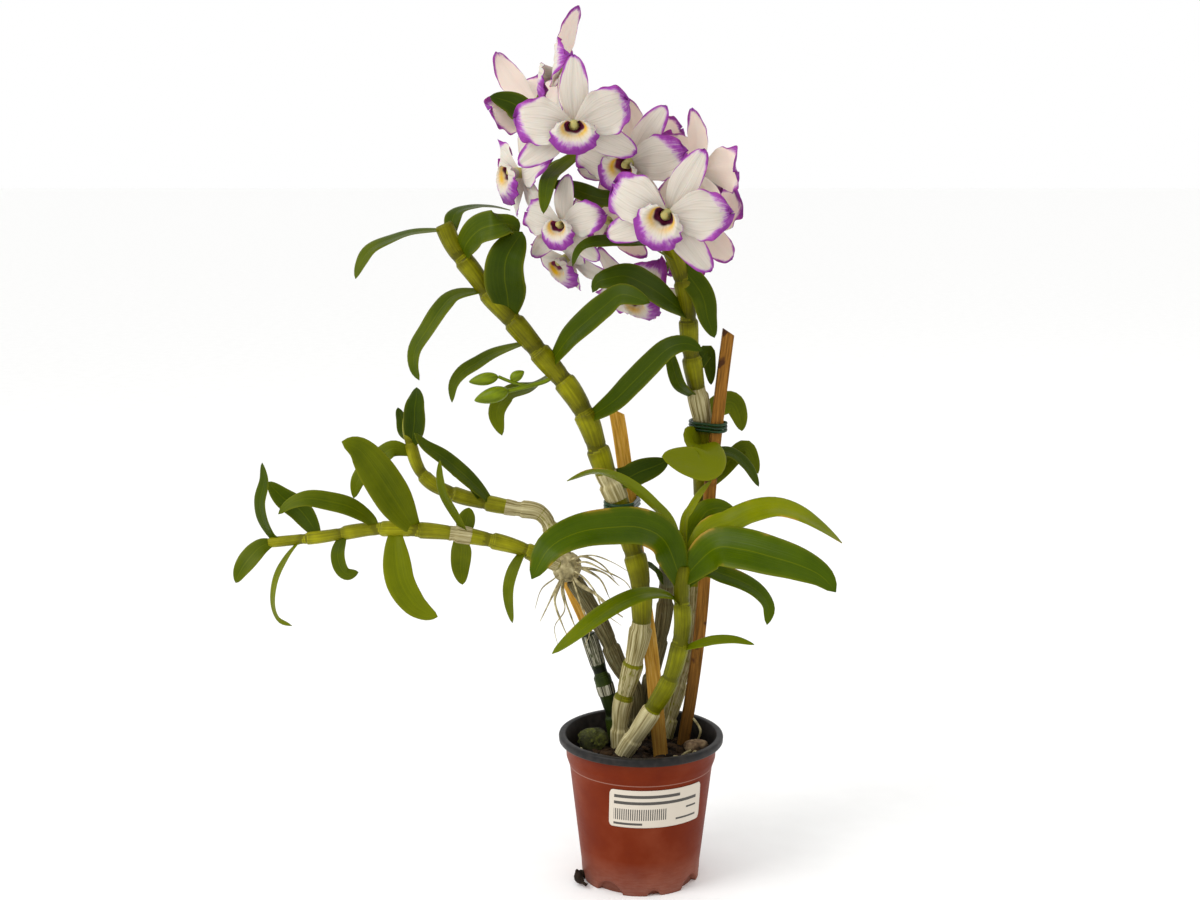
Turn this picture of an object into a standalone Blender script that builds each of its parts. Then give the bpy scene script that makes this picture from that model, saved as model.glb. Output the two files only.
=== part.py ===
"""A dendrobium orchid in its nursery pot, as closed solids.

Metres, +Z up. The origin is the middle of the pot's underside, and the plant is
seen from -Y, with its plantlet on the left at -X. Lengths are written in
millimetres and scaled by MM where a mesh is made. Every route is a list of
points in the middle of a stem, from its root to its tip.
"""
import math
import random

import bmesh
import bpy
from mathutils import Matrix, Vector

MM = 0.001
GAP = 0.3              # left between two pieces that touch
WELD = 0.0005          # corners of a joined solid that are closer than this are one
HOLE_GAP = 0.7         # between a stem and its hole, whose flats come closer than its corners

POT_HEIGHT = 90
RIM_RADIUS = 50
COLLAR_RADIUS = 45.7
STEP_RADIUS = 43.4
STEP_HEIGHT = 71
FOOT_RADIUS = 36.4
BASE_RADIUS = 35.4
FOOT_HEIGHT = 12
WALL = 1.3
NOTCH_TURN = -33       # degrees from the front to the first large drainage notch
LABEL_SIZE = (60, 24)
LABEL_TURN = 13.4      # degrees from the front to the middle of the label
LABEL_HEIGHT = 57
BARK_TOP = 76
INTERNODE = 23         # between two nodes of a cane
PEDICEL_RADIUS = 1.1
NECK_BACK = 6          # from a bloom's centre back to the end of its neck
TIE_RADIUS = 0.9
ROUND_STEPS = 32       # sides of the pot and its filling

CANE_LEFT = [(-13, 15, 66), (-13, 14, 76), (-12, 12, 97), (-10, 10, 109), (-4, 6, 134),
             (0, 2, 158), (-1, 0, 185), (-6, 2, 206), (-13, 6, 229), (-21, 5, 248),
             (-26, 3, 263), (-32, 1, 281), (-42, 0, 299), (-58, -1, 319), (-75.5, -2, 340),
             (-88.5, -3, 355), (-98.5, -4, 369), (-108.5, -4, 382), (-115, -4, 396)]
CANE_RIGHT = [(16, 31, 66), (16, 31, 78), (23, 33, 106), (31, 35, 138), (34, 35, 183),
              (37, 34, 214), (38, 31, 246), (38, 29, 271), (34, 24, 293), (29, 17, 321),
              (26, 12, 351), (20, 11, 373), (9, 12, 396), (-6, 14, 415), (-24, 14, 432),
              (-45, 14, 454)]
SHOOT = [(-12, 3, 68), (-10, 1, 77), (-1, -7, 94), (7, -12, 109), (16, -15, 126),
         (21, -17, 143), (24, -18, 162), (23, -18, 183), (24, -18, 198)]
OLD_GREY = [(-5, 30, 66), (-5, 30, 76), (-3, 29, 91), (-4, 28, 108), (-14, 26, 126),
            (-22, 24, 146), (-31, 20, 164), (-41, 17, 181)]
OLD_MOTTLED = [(-14.5, 24.5, 66), (-15, 24.5, 78), (-17, 25.5, 93), (-21, 27, 108), (-26.5, 28, 126),
               (-32, 28, 144)]
OLD_BACK = [(3, 36, 66), (4, 36, 76), (5, 35, 99), (9.5, 33, 126), (14, 30, 150),
            (16, 28, 172), (16, 27, 189)]
PLANTLET_LOWER = [(-50, 12, 191), (-69, 8, 201), (-85, 4, 207), (-110, 0, 213),
                  (-134, -3, 216), (-160, -5, 217), (-186, -6, 213), (-202, -6, 211),
                  (-221, -6, 209)]
PLANTLET_UPPER = [(-46, 20, 195), (-52, 21, 206), (-61, 22, 221), (-78, 23, 224),
                  (-98, 24, 228), (-112, 24, 232), (-126, 22, 239), (-134, 20, 249),
                  (-138, 18, 262), (-140, 17, 274), (-138, 16, 286)]
STAKE_LEFT = [(16, -3, 50), (12, 0, 77), (9, 6, 109), (6, 11, 139), (-1, 17, 187),
              (-7, 22, 229), (-12, 26, 265), (-15, 28, 283)]
STAKE_RIGHT = [(24, 22, 48), (27, 22, 77), (31, 22, 103), (35, 22, 134), (38, 21, 167),
               (40, 20, 205), (42, 19, 242), (45, 20, 272), (48, 22, 299), (52, 25, 331)]
STAKE_BACK = [(-15, 34, 55), (-16, 34, 83), (-25, 38, 118), (-34, 41, 146), (-42, 41, 165),
              (-47, 41, 177)]

# Every cane that stands in the bark, and every stake, with its radii
LEFT_RADII = (4.6, 6.5, 4.8)
RIGHT_RADII = (4.6, 5.6, 3.6)
SHOOT_RADII = (5.0, 5.2, 4.6)
GREY_RADII = (4.0, 4.6, 4.4)
MOTTLED_RADII = (4.0, 4.6, 4.0)
BACK_RADII = (4.0, 4.4, 4.0)
PLANTLET_RADII = (4.2, 4.4, 2.6)
CANES = [(CANE_LEFT, LEFT_RADII), (CANE_RIGHT, RIGHT_RADII), (SHOOT, SHOOT_RADII),
         (OLD_GREY, GREY_RADII), (OLD_MOTTLED, MOTTLED_RADII), (OLD_BACK, BACK_RADII)]
STAKES = [(STAKE_LEFT, 4.2), (STAKE_RIGHT, 3.8), (STAKE_BACK, 2.8)]

# Leaves: distance of the root along its cane, width, the way its upper face looks
# at the root and, where the leaf is twisted, at the tip, and the points that its
# midrib passes after the root.
LEAVES_LEFT = [
    (362, 14, (-0.3, -0.25, 0.9, -0.5, -0.6, 0.6), [(-132, -8, 391), (-145, -14, 387), (-155, -19, 382),
     (-160, -23, 374), (-163, -26, 366)]),
    (356, 12, (0, -0.2, 1), [(-109, 5, 401), (-99, 12, 405), (-88, 21, 405), (-78, 28, 403)]),
    (343, 20, (-0.3, -0.9, 0.4), [(-101, -11, 385), (-93, -20, 393), (-84, -26, 396), (-76, -19, 396),
     (-71, -14, 392)]),
    (300, 24, (-0.1, -1, 0.1), [(-78, -11, 355), (-79, -20, 367), (-77, -26, 379), (-69, -18, 392)]),
    (320, 15, (-0.1, -0.35, 1, -0.7, -0.7, 0.1), [(-108, -4, 355), (-116, -8, 348), (-124, -13, 336),
     (-131, -14, 325), (-132, -15, 315), (-129, -16, 307)]),
    (281, 11, (-0.1, -0.35, 1, -0.6, -0.75, 0.2), [(-86, 0, 321), (-97, -2, 315), (-105, -4, 310),
     (-110, -6, 303), (-111, -8, 293)]),
    (259, 13, (0, -0.2, 1, -0.3, -1, 0.3), [(-64, 6, 300), (-78, 11, 296), (-86, 10, 285), (-83, 8, 271)]),
    (263, 18, (-0.4, -0.8, 0.5), [(-47, -9, 325), (-41, -15, 333), (-32, -24, 342), (-22, -32, 351),
     (-12, -39, 358), (3, -46, 354)]),
    (224, 17, (-0.35, -0.8, 0.5), [(-17, -12, 294), (-6, -21, 306), (4, -27, 317), (14, -32, 327),
     (24, -34, 330), (33, -34, 326)]),
    (188, 15, (0, -0.9, 0.4), [(-9, 6, 246), (-1, 8, 249), (8, 10, 252), (16, 13, 255)]),
]
LEAVES_RIGHT = [
    (281, 19, (-0.2, -0.75, 0.65, -0.5, -0.7, 0.3), [(12, -2, 354), (2, -12, 361), (-10, -22, 367),
     (-20, -26, 366), (-26, -24, 364), (-29, -22, 358)]),
    (316, 15, (0.3, -1, 0.2), [(32, 8, 359), (36, 5, 351), (38, 2, 341), (42, 0, 330)]),
    (244, 9, (0.3, -1, 0.2), [(39, 26, 319), (41, 28, 311), (42, 26, 299)]),
    (228, 10, (-0.6, -0.8, 0), [(23, 14, 300), (18, 12, 314), (15, 14, 327)]),
    (313, 11, (-0.1, -0.3, 0.95, -0.6, -0.8, 0.1), [(2, -6, 384), (-10, -16, 386), (-21, -24, 387),
     (-31, -30, 386), (-37, -35, 382), (-40, -40, 374)]),
    (360, 18, (-0.1, -0.6, 0.7), [(-22, 0, 410), (-39, -6, 415), (-54, -10, 419)]),
    (400, 11, (-0.2, -0.7, 0.6, -0.2, -0.95, 0.1), [(-39, 8, 435), (-49, -8, 427), (-54, -24, 420),
     (-56, -42, 403)]),
    (414, 17, (-0.2, -0.8, 0.5), [(-67, 19, 459), (-76, 22, 465), (-89, 23, 469)]),
    (217, 14, (0.2, -1, 0.3), [(48, 38, 285), (56, 42, 286), (60, 41, 279), (62, 38, 269)]),
    (191, 10, (0.2, -0.5, 0.85), [(54, 36, 256), (65, 34, 248), (72, 30, 236)]),
    (169, 11, (0.1, -1, 0.2), [(57, 46, 251), (65, 48, 257), (70, 47, 250), (73, 46, 241)]),
    (203, 24, (0.9, -0.4, 0.3, -0.1, -0.8, 0.6), [(31, 14, 266), (39, 3, 262), (36, -4, 256),
     (25, -11, 258), (11, -20, 263)]),
]
LEAVES_SHOOT = [
    (130, 27, (-0.1, -0.7, 0.7), [(13, -29, 214), (-1, -36, 224), (-18, -44, 226), (-37, -53, 225),
     (-53, -61, 218), (-63, -64, 201)]),
    (138, 13, (0.25, 0.5, 0.8), [(16, -14, 222), (5, -15, 235), (-6, -17, 245), (-18, -19, 252),
     (-30, -21, 254), (-44, -22, 249)]),
    (141, 8, (-0.8, -0.5, 0.3), [(25, -6, 221), (29, -4, 229), (35, -4, 239), (41, -4, 246)]),
    (138, 18, (0.1, -0.8, 0.6, 0.3, -0.3, 1), [(38, -14, 217), (51, -15, 223), (64, -19, 230),
     (78, -22, 233), (91, -26, 230), (103, -28, 223), (115, -30, 214)]),
    (132, 27, (0.1, -0.8, 0.6), [(41, -29, 210), (56, -38, 212), (72, -48, 210), (87, -56, 207),
     (99, -61, 202), (107, -66, 194)]),
    (113, 14, (-0.2, -0.35, 0.9, -0.2, -0.6, 0.8), [(16, -24, 181), (2, -31, 184), (-12, -39, 181),
     (-27, -48, 174), (-40, -54, 165), (-52, -58, 156)]),
    (126, 14, (0.3, -0.6, 0.7), [(35, -11, 194), (48, -8, 190), (61, -9, 185), (70, -11, 179),
     (75, -12, 171), (74, -14, 161)]),
    (89, 7, (0, -0.6, 0.8), [(34, -23, 152), (43, -26, 155), (54, -29, 156), (65, -32, 154)]),
    (135, 17, (-0.3, -0.8, 0.4), [(35, 3, 220), (43, 6, 227), (56, 8, 226)]),
]
LEAVES_LOWER = [
    (175, 13, (-0.4, -0.85, 0.2), [(-225, -9, 207), (-231, -13, 201), (-236, -15, 194), (-239, -16, 187)]),
    (171, 10, (-0.6, -0.8, 0), [(-219, -7, 214), (-223, -10, 224), (-224, -11, 235), (-221, -12, 247),
     (-222, -12, 258)]),
    (148, 14, (-0.3, -0.9, 0.3), [(-195, -3, 218), (-203, 2, 227), (-214, 6, 234), (-223, 8, 243)]),
    (113, 12, (-0.2, -0.8, 0.6), [(-161, -8, 224), (-171, -14, 232), (-183, -17, 236), (-195, -19, 238),
     (-205, -20, 235), (-212, -20, 229)]),
    (158, 7, (-0.8, -0.6, 0.1), [(-209, -12, 202), (-215, -16, 190), (-217, -18, 176), (-214, -19, 166),
     (-206, -20, 162)]),
    (132, 10, (-0.4, -0.9, 0), [(-179, -11, 205), (-178, -13, 197), (-174, -14, 192), (-167, -14, 193)]),
    (90, 23, (0.3, -0.9, 0.3), [(-139, -9, 225), (-146, -19, 240), (-154, -30, 257), (-162, -36, 270),
     (-171, -40, 275)]),
    (102, 17, (0.1, -1, 0.1), [(-145, -12, 205), (-142, -19, 189), (-135, -21, 177), (-128, -21, 171),
     (-120, -22, 168)]),
    (62, 11, (0, -1, 0.1), [(-105, 6, 219), (-104, 8, 223), (-103, 9, 227)]),
    (64, 12.5, (0, -1, 0), [(-108, 7, 202), (-109, 12, 190), (-108, 12, 179)]),
    (59, 8, (-0.6, -0.8, 0), [(-110, -7, 226), (-116, -12, 239), (-118, -14, 250), (-118, -14, 260)]),
    (20, 9, (-0.6, -0.75, 0.2), [(-71, 6, 200), (-76, 1, 192), (-79, -3, 182), (-79, -5, 172),
     (-77, -6, 160)]),
]
LEAVES_UPPER = [
    (60, 12, (0.3, -0.7, 0.6), [(-98, 18, 237), (-108, 12, 248), (-118, 6, 258), (-128, 1, 266),
     (-134, -2, 274)]),
    (126, 14, (-0.2, -1, 0), [(-135, 9, 278), (-134, 4, 288), (-133, 4, 294), (-133, 6, 300)]),
    (130, 8, (-0.3, -1, 0), [(-143, 22, 272), (-144, 22, 279), (-146, 20, 286)]),
    (122, 12, (-0.3, -0.9, 0.3), [(-148, 15, 262), (-155, 13, 258), (-162, 11, 252), (-169, 9, 244),
     (-172, 8, 233)]),
    (66, 7, (0.2, -0.8, 0.5), [(-102, 16, 240), (-108, 13, 245), (-114, 10, 248)]),
]
LEAVES_BACK = [(109, 6, (-0.3, -0.6, 0.7), [(8, 16, 188), (2, 12, 191), (-1, 11, 183)])]

# Blooms: middle, the way the bloom looks, the way its top sepal points, size,
# the distance along the right cane where its pedicel grows, and a point that the
# pedicel passes.
BLOOMS = [
    ((-47, 0, 481), (-0.95, 0.03, 0.1), (0.25, 0.0, 1.0), 1.0, 418, (-42, 6, 468)),
    ((-64, 34, 464), (-0.35, 0.6, -0.5), (-0.5, 0.1, 0.7), 1.0, 412, (-56, 22, 466)),
    ((-39, -40, 451), (0.0, -1.0, -0.05), (0.0, 0.0, 1.0), 1.0, 402, (-38, 0, 446)),
    ((-8, -17, 431), (-0.4, -0.85, -0.25), (0.55, 0.0, 0.83), 1.0, 376, (-7, 5, 428)),
    ((12, -52, 403), (-0.25, -0.95, -0.1), (0.47, 0.0, 0.88), 1.05, 350, (16, -19, 396)),
    ((31, -6, 426), (0.72, 0.65, 0.2), (0.35, 0.0, 0.9), 1.0, 340, (20, -6, 410)),
    ((34, 30, 393), (0.55, 0.75, -0.3), (0.75, 0.0, -0.6), 1.0, 330, (26, 16, 392)),
    ((-70, 6, 425), (-0.9, -0.42, 0.0), (-0.05, 0.0, 1.0), 1.0, 392, (-48, 12, 432)),
    ((-46, -20, 396), (-0.4, -0.91, 0.0), (0.0, 0.0, 1.0), 0.76, 366, (-30, 2, 402)),
    ((-44, 14, 376), (-0.7, -0.5, -0.5), (-0.5, 0.0, 0.85), 0.9, 346, (-24, 18, 384)),
    ((-1, 44, 354), (-0.4, -0.6, -0.7), (-0.5, 0.0, 0.6), 0.95, 322, (12, 42, 356)),
    ((-21, 36, 397), (-0.5, 0.8, 0.1), (0.0, 0.0, 1.0), 0.9, 356, (-8, 26, 402)),
    ((-1, 34, 438), (0.2, 0.95, 0.2), (-0.2, 0.0, 1.0), 0.9, 384, (-8, 24, 432)),
]

# The angles from the top of a bloom, in degrees, to its top sepal, right petal, right
# sepal, left sepal and left petal, and the same for the three blooms that differ.
TURNS = (2, 76, 133, -130, -73)
TURNS_OF = {3: (0, 66, 114, -125, -84), 4: (3, 48, 122, -134, -108), 5: (2, 62, 117, -138, -91)}

# The stalk of buds on the left cane, and each bud from its tail to its tip with its radius.
BUD_STALK = [(-56, -2, 305), (-67, -4, 302), (-76, -6, 300), (-82, -8, 299)]
BUD_FORK = (-77, -6, 305)
BUDS = [((-78, -8, 300), (-98, -8, 294), 4.6),
        ((-84, -7, 308), (-101, -8, 305), 3.6),
        ((-77, -6, 306), (-69, -6, 311), 3.0)]

# The plantlet's base, and the points that each air root passes, with its radius.
KNOT_CENTRE = (-45, 16, 189)
KNOT_RADII = (9, 8, 9)
AIR_ROOTS = [
    ([(-33, 9, 190), (-22, 8, 187), (-13, 8, 179)], 0.9),
    ([(-36, 8, 190), (-25, 6, 184), (-19, 6, 172)], 0.9),
    ([(-38, 8, 181), (-28, 6, 175), (-18, 4, 166), (-11, 7, 160)], 1.3),
    ([(-50, 10, 180), (-54, 8, 172), (-61, 4, 158)], 0.8),
    ([(-49, 8, 180), (-52, 6, 170), (-47, 4, 155), (-43, 3, 147)], 0.9),
    ([(-47, 8, 176), (-42, 6, 160), (-38, 6, 150)], 0.8),
    ([(-36, 10, 197), (-24, 10, 192), (-16, 9, 183)], 0.8),
]
SURFACE_ROOTS = [
    [(26, 2, 76), (30, -2, 80), (25, -10, 79), (20, -16, 76)],
    [(30, 0, 76), (33, -6, 80), (33, -14, 76)],
    [(34, 18, 76), (37, 14, 86), (33, 19, 92), (31, 24, 91)],
]
MOSSY_CHUNK = ((-29, 12.5, 81.5), (9, 7, 7))
BROWN_CHUNK = ((34, 7, 79), (7.5, 5, 3.5))
SCRAP = [(-33.9, -7.2, 1.6), (-37.6, -9, 2.2), (-39, -12, 6.5), (-38, -17, 4.6),
         (-36, -21, 3.2), (-33, -25, 2)]
SCRAP_RADII = [1.2, 1.5, 2.6, 1.5, 2.8, 1.4]


def material(name, colour, roughness):
    """A plain Principled material."""
    made = bpy.data.materials.new(name)
    made.use_nodes = True
    surface = made.node_tree.nodes["Principled BSDF"]
    surface.inputs["Base Color"].default_value = (*colour, 1.0)
    surface.inputs["Roughness"].default_value = roughness
    return made


def scratch(name, mesh):
    """An object for a mesh, linked to the scene until it is finished or joined."""
    made = bpy.data.objects.new(name, mesh)
    bpy.context.scene.collection.objects.link(made)
    return made


def finish(piece, name, look, smooth=True):
    """Name a finished piece, give it its material and move it to the parts."""
    piece.name = name
    piece.data.name = name
    piece.data.materials.clear()
    piece.data.materials.append(look)
    if smooth:
        piece.data.shade_smooth()
    for home in list(piece.users_collection):
        home.objects.unlink(piece)
    parts.objects.link(piece)
    return piece


def bake(piece):
    """Put the evaluated mesh in place of the piece's own and drop its modifiers."""
    graph = bpy.context.evaluated_depsgraph_get()
    mesh = bpy.data.meshes.new_from_object(piece.evaluated_get(graph))
    piece.modifiers.clear()
    piece.data = mesh
    return piece


def largest_body(piece):
    """Drop the crumbs that a Boolean leaves beside the main body."""
    shell = bmesh.new()
    shell.from_mesh(piece.data)
    left = set(shell.verts)
    bodies = []
    while left:
        body = set()
        edge = [left.pop()]
        while edge:
            vert = edge.pop()
            body.add(vert)
            near = {link.other_vert(vert) for link in vert.link_edges} & left
            left -= near
            edge.extend(near)
        bodies.append(body)
    bodies.sort(key=len)
    for body in bodies[:-1]:
        bmesh.ops.delete(shell, geom=list(body), context="VERTS")
    bmesh.ops.remove_doubles(shell, verts=shell.verts, dist=WELD * MM)
    shell.to_mesh(piece.data)
    shell.free()
    return piece


def combine(target, pieces, operation="UNION", solver="EXACT"):
    """Boolean the pieces with the target, then remove them."""
    group = bpy.data.collections.new("operands")
    bpy.context.scene.collection.children.link(group)
    for piece in pieces:
        group.objects.link(piece)
    boolean = target.modifiers.new("Combine", "BOOLEAN")
    boolean.operation = operation
    boolean.solver = solver
    boolean.operand_type = "COLLECTION"
    boolean.collection = group
    bake(target)
    for piece in pieces:
        bpy.data.objects.remove(piece)
    bpy.data.collections.remove(group)
    return largest_body(target)


def smooth_route(points, steps):
    """A Catmull-Rom curve through the points, with so many steps between two."""
    points = [Vector(point) for point in points]
    padded = [2 * points[0] - points[1]] + points + [2 * points[-1] - points[-2]]
    route = []
    for p0, p1, p2, p3 in zip(padded, padded[1:], padded[2:], padded[3:]):
        for step in range(steps):
            t = step / steps
            bend = (2 * p0 - 5 * p1 + 4 * p2 - p3) * t * t
            route.append(0.5 * (2 * p1 + (p2 - p0) * t + bend + (3 * p1 - p0 - 3 * p2 + p3) * t ** 3))
    return route + [points[-1]]


def along(route, distance):
    """The point at a distance along the route, and the direction there."""
    for here, there in zip(route, route[1:]):
        span = (there - here).length
        if distance <= span:
            return here.lerp(there, distance / span), (there - here).normalized()
        distance -= span
    return route[-1].copy(), (route[-1] - route[-2]).normalized()


def length_of(route):
    return sum((there - here).length for here, there in zip(route, route[1:]))


def tube(name, route, radii, resolution=2, closed=False):
    """A round bar along the route as a mesh, with 4 sides and 2 more for each resolution."""
    curve = bpy.data.curves.new(name, "CURVE")
    curve.dimensions = "3D"
    curve.bevel_depth = MM
    curve.bevel_resolution = resolution
    curve.use_fill_caps = not closed
    spline = curve.splines.new("POLY")
    spline.points.add(len(route) - 1)
    spline.use_cyclic_u = closed
    for point, place, radius in zip(spline.points, route, radii):
        point.co = (*(Vector(place) * MM), 1.0)
        point.radius = radius
    bar = scratch(name, curve)
    graph = bpy.context.evaluated_depsgraph_get()
    mesh = bpy.data.meshes.new_from_object(bar.evaluated_get(graph))
    shell = bmesh.new()
    shell.from_mesh(mesh)
    bmesh.ops.remove_doubles(shell, verts=shell.verts, dist=0.000001)
    bmesh.ops.recalc_face_normals(shell, faces=shell.faces)
    shell.to_mesh(mesh)
    shell.free()
    piece = scratch(name, mesh)
    piece.matrix_world = bar.matrix_world
    bpy.data.objects.remove(bar)
    return piece


def sheet(name, rows, columns, place, thickness):
    """A grid laid out by place(a, b), a from 0 to 1 and b from -1 to 1, made solid."""
    grid = bmesh.new()
    bmesh.ops.create_grid(grid, x_segments=rows, y_segments=columns, size=0.5)
    for vert in grid.verts:
        vert.co = Vector(place(vert.co.x + 0.5, vert.co.y * 2)) * MM
    bmesh.ops.triangulate(grid, faces=grid.faces)
    mesh = bpy.data.meshes.new(name)
    grid.to_mesh(mesh)
    grid.free()
    piece = scratch(name, mesh)
    solid = piece.modifiers.new("Thickness", "SOLIDIFY")
    solid.thickness = thickness * MM
    solid.offset = 0
    return bake(piece)


def leaf_outline(a):
    """Half-width of a leaf along its length, from a clasping base to a narrow tip."""
    rise = 0.34 + 0.66 * math.sin(math.pi / 2 * min(a / 0.42, 1))
    fall = max(1 - (max(a - 0.42, 0) / 0.58) ** 2.4, 0) ** 0.62
    return max(rise * fall, 0.07)


def leaf(name, root, points, width, facing):
    """A blade with a shallow V across it, along a curve from its root, turned from near to far."""
    route = smooth_route([root, *points], 6)
    reach = length_of(route)
    near = Vector(facing[:3]).normalized()
    far = Vector(facing[-3:]).normalized()

    def place(a, b):
        middle, ahead = along(route, a * reach)
        outlook = near.lerp(far, a)
        up = (outlook - outlook.dot(ahead) * ahead).normalized()
        half = width / 2 * leaf_outline(a)
        return middle + ahead.cross(up) * b * half + up * (0.24 * abs(b) * half)

    return sheet(name, 4, 2, place, 0.9)


def rings(points, radii):
    """Places and radii along a cane, narrow at each node and swollen below the next."""
    route = smooth_route(points, 5)
    reach = length_of(route)
    base, middle, tip = radii
    internodes = round(reach / INTERNODE)
    places = []
    sizes = []
    for number in range(2 * internodes + 1):
        a = (number // 2 + 0.85 * (number % 2)) / internodes
        places.append(along(route, a * reach)[0])
        plain = base * (1 - a) ** 2 + middle * 2.4 * a * (1 - a) + tip * a * a
        sizes.append(plain * (0.9, 1.08)[number % 2])
    return places, sizes


def cane(name, points, radii, leaves, extras=(), resolution=2):
    """A stem of swollen internodes with its leaves, as one body."""
    route = smooth_route(points, 5)
    stem = tube(name, *rings(points, radii), resolution)
    blades = []
    for distance, width, facing, middles in leaves:
        root = along(route, distance)[0]
        blades.append(leaf(name + "_leaf", root, middles, width, facing))
    return combine(stem, blades + list(extras))


def sepal_outline(a):
    """Half-width of a sepal: broad below the middle, narrowing to a blunt tip."""
    rise = 0.3 + 0.7 * math.sin(math.pi / 2 * min(a / 0.55, 1))
    return max(rise * math.sqrt(max(1 - a ** 3.5, 0)), 0.12)


def petal_outline(a):
    """Half-width of a petal: a narrow claw, then broad and round."""
    rise = 0.16 + 0.84 * math.sin(math.pi / 2 * min(a / 0.6, 1))
    return max(rise * math.sqrt(max(1 - a ** 4, 0)), 0.3)


def tepal(spot, turn, length, width, outline, base, lift, reflex, wave, grid):
    """A sepal or petal that points at an angle from the top, round the bloom's middle."""
    outward = Vector((math.sin(turn), math.cos(turn), 0))
    across = Vector((math.cos(turn), -math.sin(turn), 0))

    def place(a, b):
        half = width / 2 * outline(a)
        forward = base + lift * math.sin(math.pi * a) - reflex * a * a
        forward += wave * a * math.sin(9 * a + b) * b * b
        return spot @ (outward * (1 + (length - 1) * a) + across * b * half + Vector((0, 0, forward)))

    return sheet("tepal", *grid, place, 0.8)


def lip(spot):
    """A trumpet round the column, open at the top, with a broad front lobe turned down."""

    def place(a, b):
        turn = math.radians(3 + 150 * b)
        reach = 2.6 + 3.4 * min(a / 0.45, 1) + max(a - 0.45, 0) / 0.55 * (3 + 8 * math.cos(turn / 2) ** 2)
        droop = 3 * max(a - 0.7, 0) / 0.3 * math.cos(turn / 2)
        front = 3 + 9 * math.sin(math.pi / 2 * min(a / 0.7, 1)) - droop
        return spot @ Vector((math.sin(turn) * reach, -math.cos(turn) * reach - 3 * a, front))

    return sheet("lip", 3, 5, place, 0.8)


def bloom(name, centre, facing, upward, size, turns):
    """Three sepals, two waved petals, a lip, and the column with its neck behind."""
    ahead = Vector(facing).normalized()
    upright = (Vector(upward) - ahead.dot(Vector(upward)) * ahead).normalized()
    turned = Matrix((upright.cross(ahead), upright, ahead)).transposed()
    spot = Matrix.Translation(centre) @ turned.to_4x4() @ Matrix.Scale(size, 4)
    neck = [spot @ Vector((0, 0, depth)) for depth in (-NECK_BACK, -4, 3, 9)]
    body = tube(name, neck, [r * size for r in (1.7, 3.0, 3.4, 2.0)], 0)
    pieces = [lip(spot)]
    for turn, base in zip((turns[0], turns[2], turns[3]), (-2.1, -1.0, -3.2)):
        pieces.append(tepal(spot, math.radians(turn), 38, 17, sepal_outline, base, 2, 4, 0, (3, 1)))
    for turn, base in zip((turns[1], turns[4]), (0.3, 1.6)):
        pieces.append(tepal(spot, math.radians(turn), 35, 28, petal_outline, base, 4, 2, 3, (4, 2)))
    return combine(body, pieces)


def pedicel(route, distance, middle, centre, facing, size):
    """The stalk from the cane to the back of a bloom's neck."""
    ahead = Vector(facing).normalized()
    end = Vector(centre) - ahead * (NECK_BACK * size + GAP)
    root, _ = along(route, distance)
    stalk = [root, Vector(middle), end - ahead * 5, end]
    return tube("pedicel", stalk, [PEDICEL_RADIUS] * len(stalk), 0)


def hole(places, sizes):
    """A cutter a little wider than the foot of a stem or stake."""
    foot = Vector(places[0])
    sunk = foot + (foot - Vector(places[1])).normalized() * 0.6
    return tube("hole", [sunk, *places[1:3]], [size + HOLE_GAP for size in sizes[:3]], 2)


def turned(name, outline, steps):
    """An outline of (radius, height) points, from axis to axis, turned round Z."""
    mesh = bpy.data.meshes.new(name)
    edges = [(number, number + 1) for number in range(len(outline) - 1)]
    mesh.from_pydata([(radius * MM, 0, height * MM) for radius, height in outline], edges, [])
    piece = scratch(name, mesh)
    screw = piece.modifiers.new("Turn", "SCREW")
    screw.steps = steps
    screw.render_steps = steps
    screw.use_merge_vertices = True
    screw.merge_threshold = 0.0001
    return bake(piece)


def lump(name, centre, radii, turn, detail, rough, draw):
    """An icosphere stretched to its radii, turned about Z and roughened."""
    ball = bmesh.new()
    bmesh.ops.create_icosphere(ball, subdivisions=detail, radius=1)
    spin = Matrix.Rotation(turn, 3, "Z")
    for vert in ball.verts:
        size = 1 + rough * draw.uniform(-1, 1)
        stretched = Vector([size * c * r for c, r in zip(vert.co, radii)])
        vert.co = (Vector(centre) + spin @ stretched) * MM
    bmesh.ops.triangulate(ball, faces=ball.faces)
    mesh = bpy.data.meshes.new(name)
    ball.to_mesh(mesh)
    ball.free()
    return scratch(name, mesh)


def wall_radius(height):
    """Radius of the pot's outer wall between its foot and its step."""
    return FOOT_RADIUS + (STEP_RADIUS - FOOT_RADIUS) * (height - FOOT_HEIGHT) / (STEP_HEIGHT - FOOT_HEIGHT)


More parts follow.
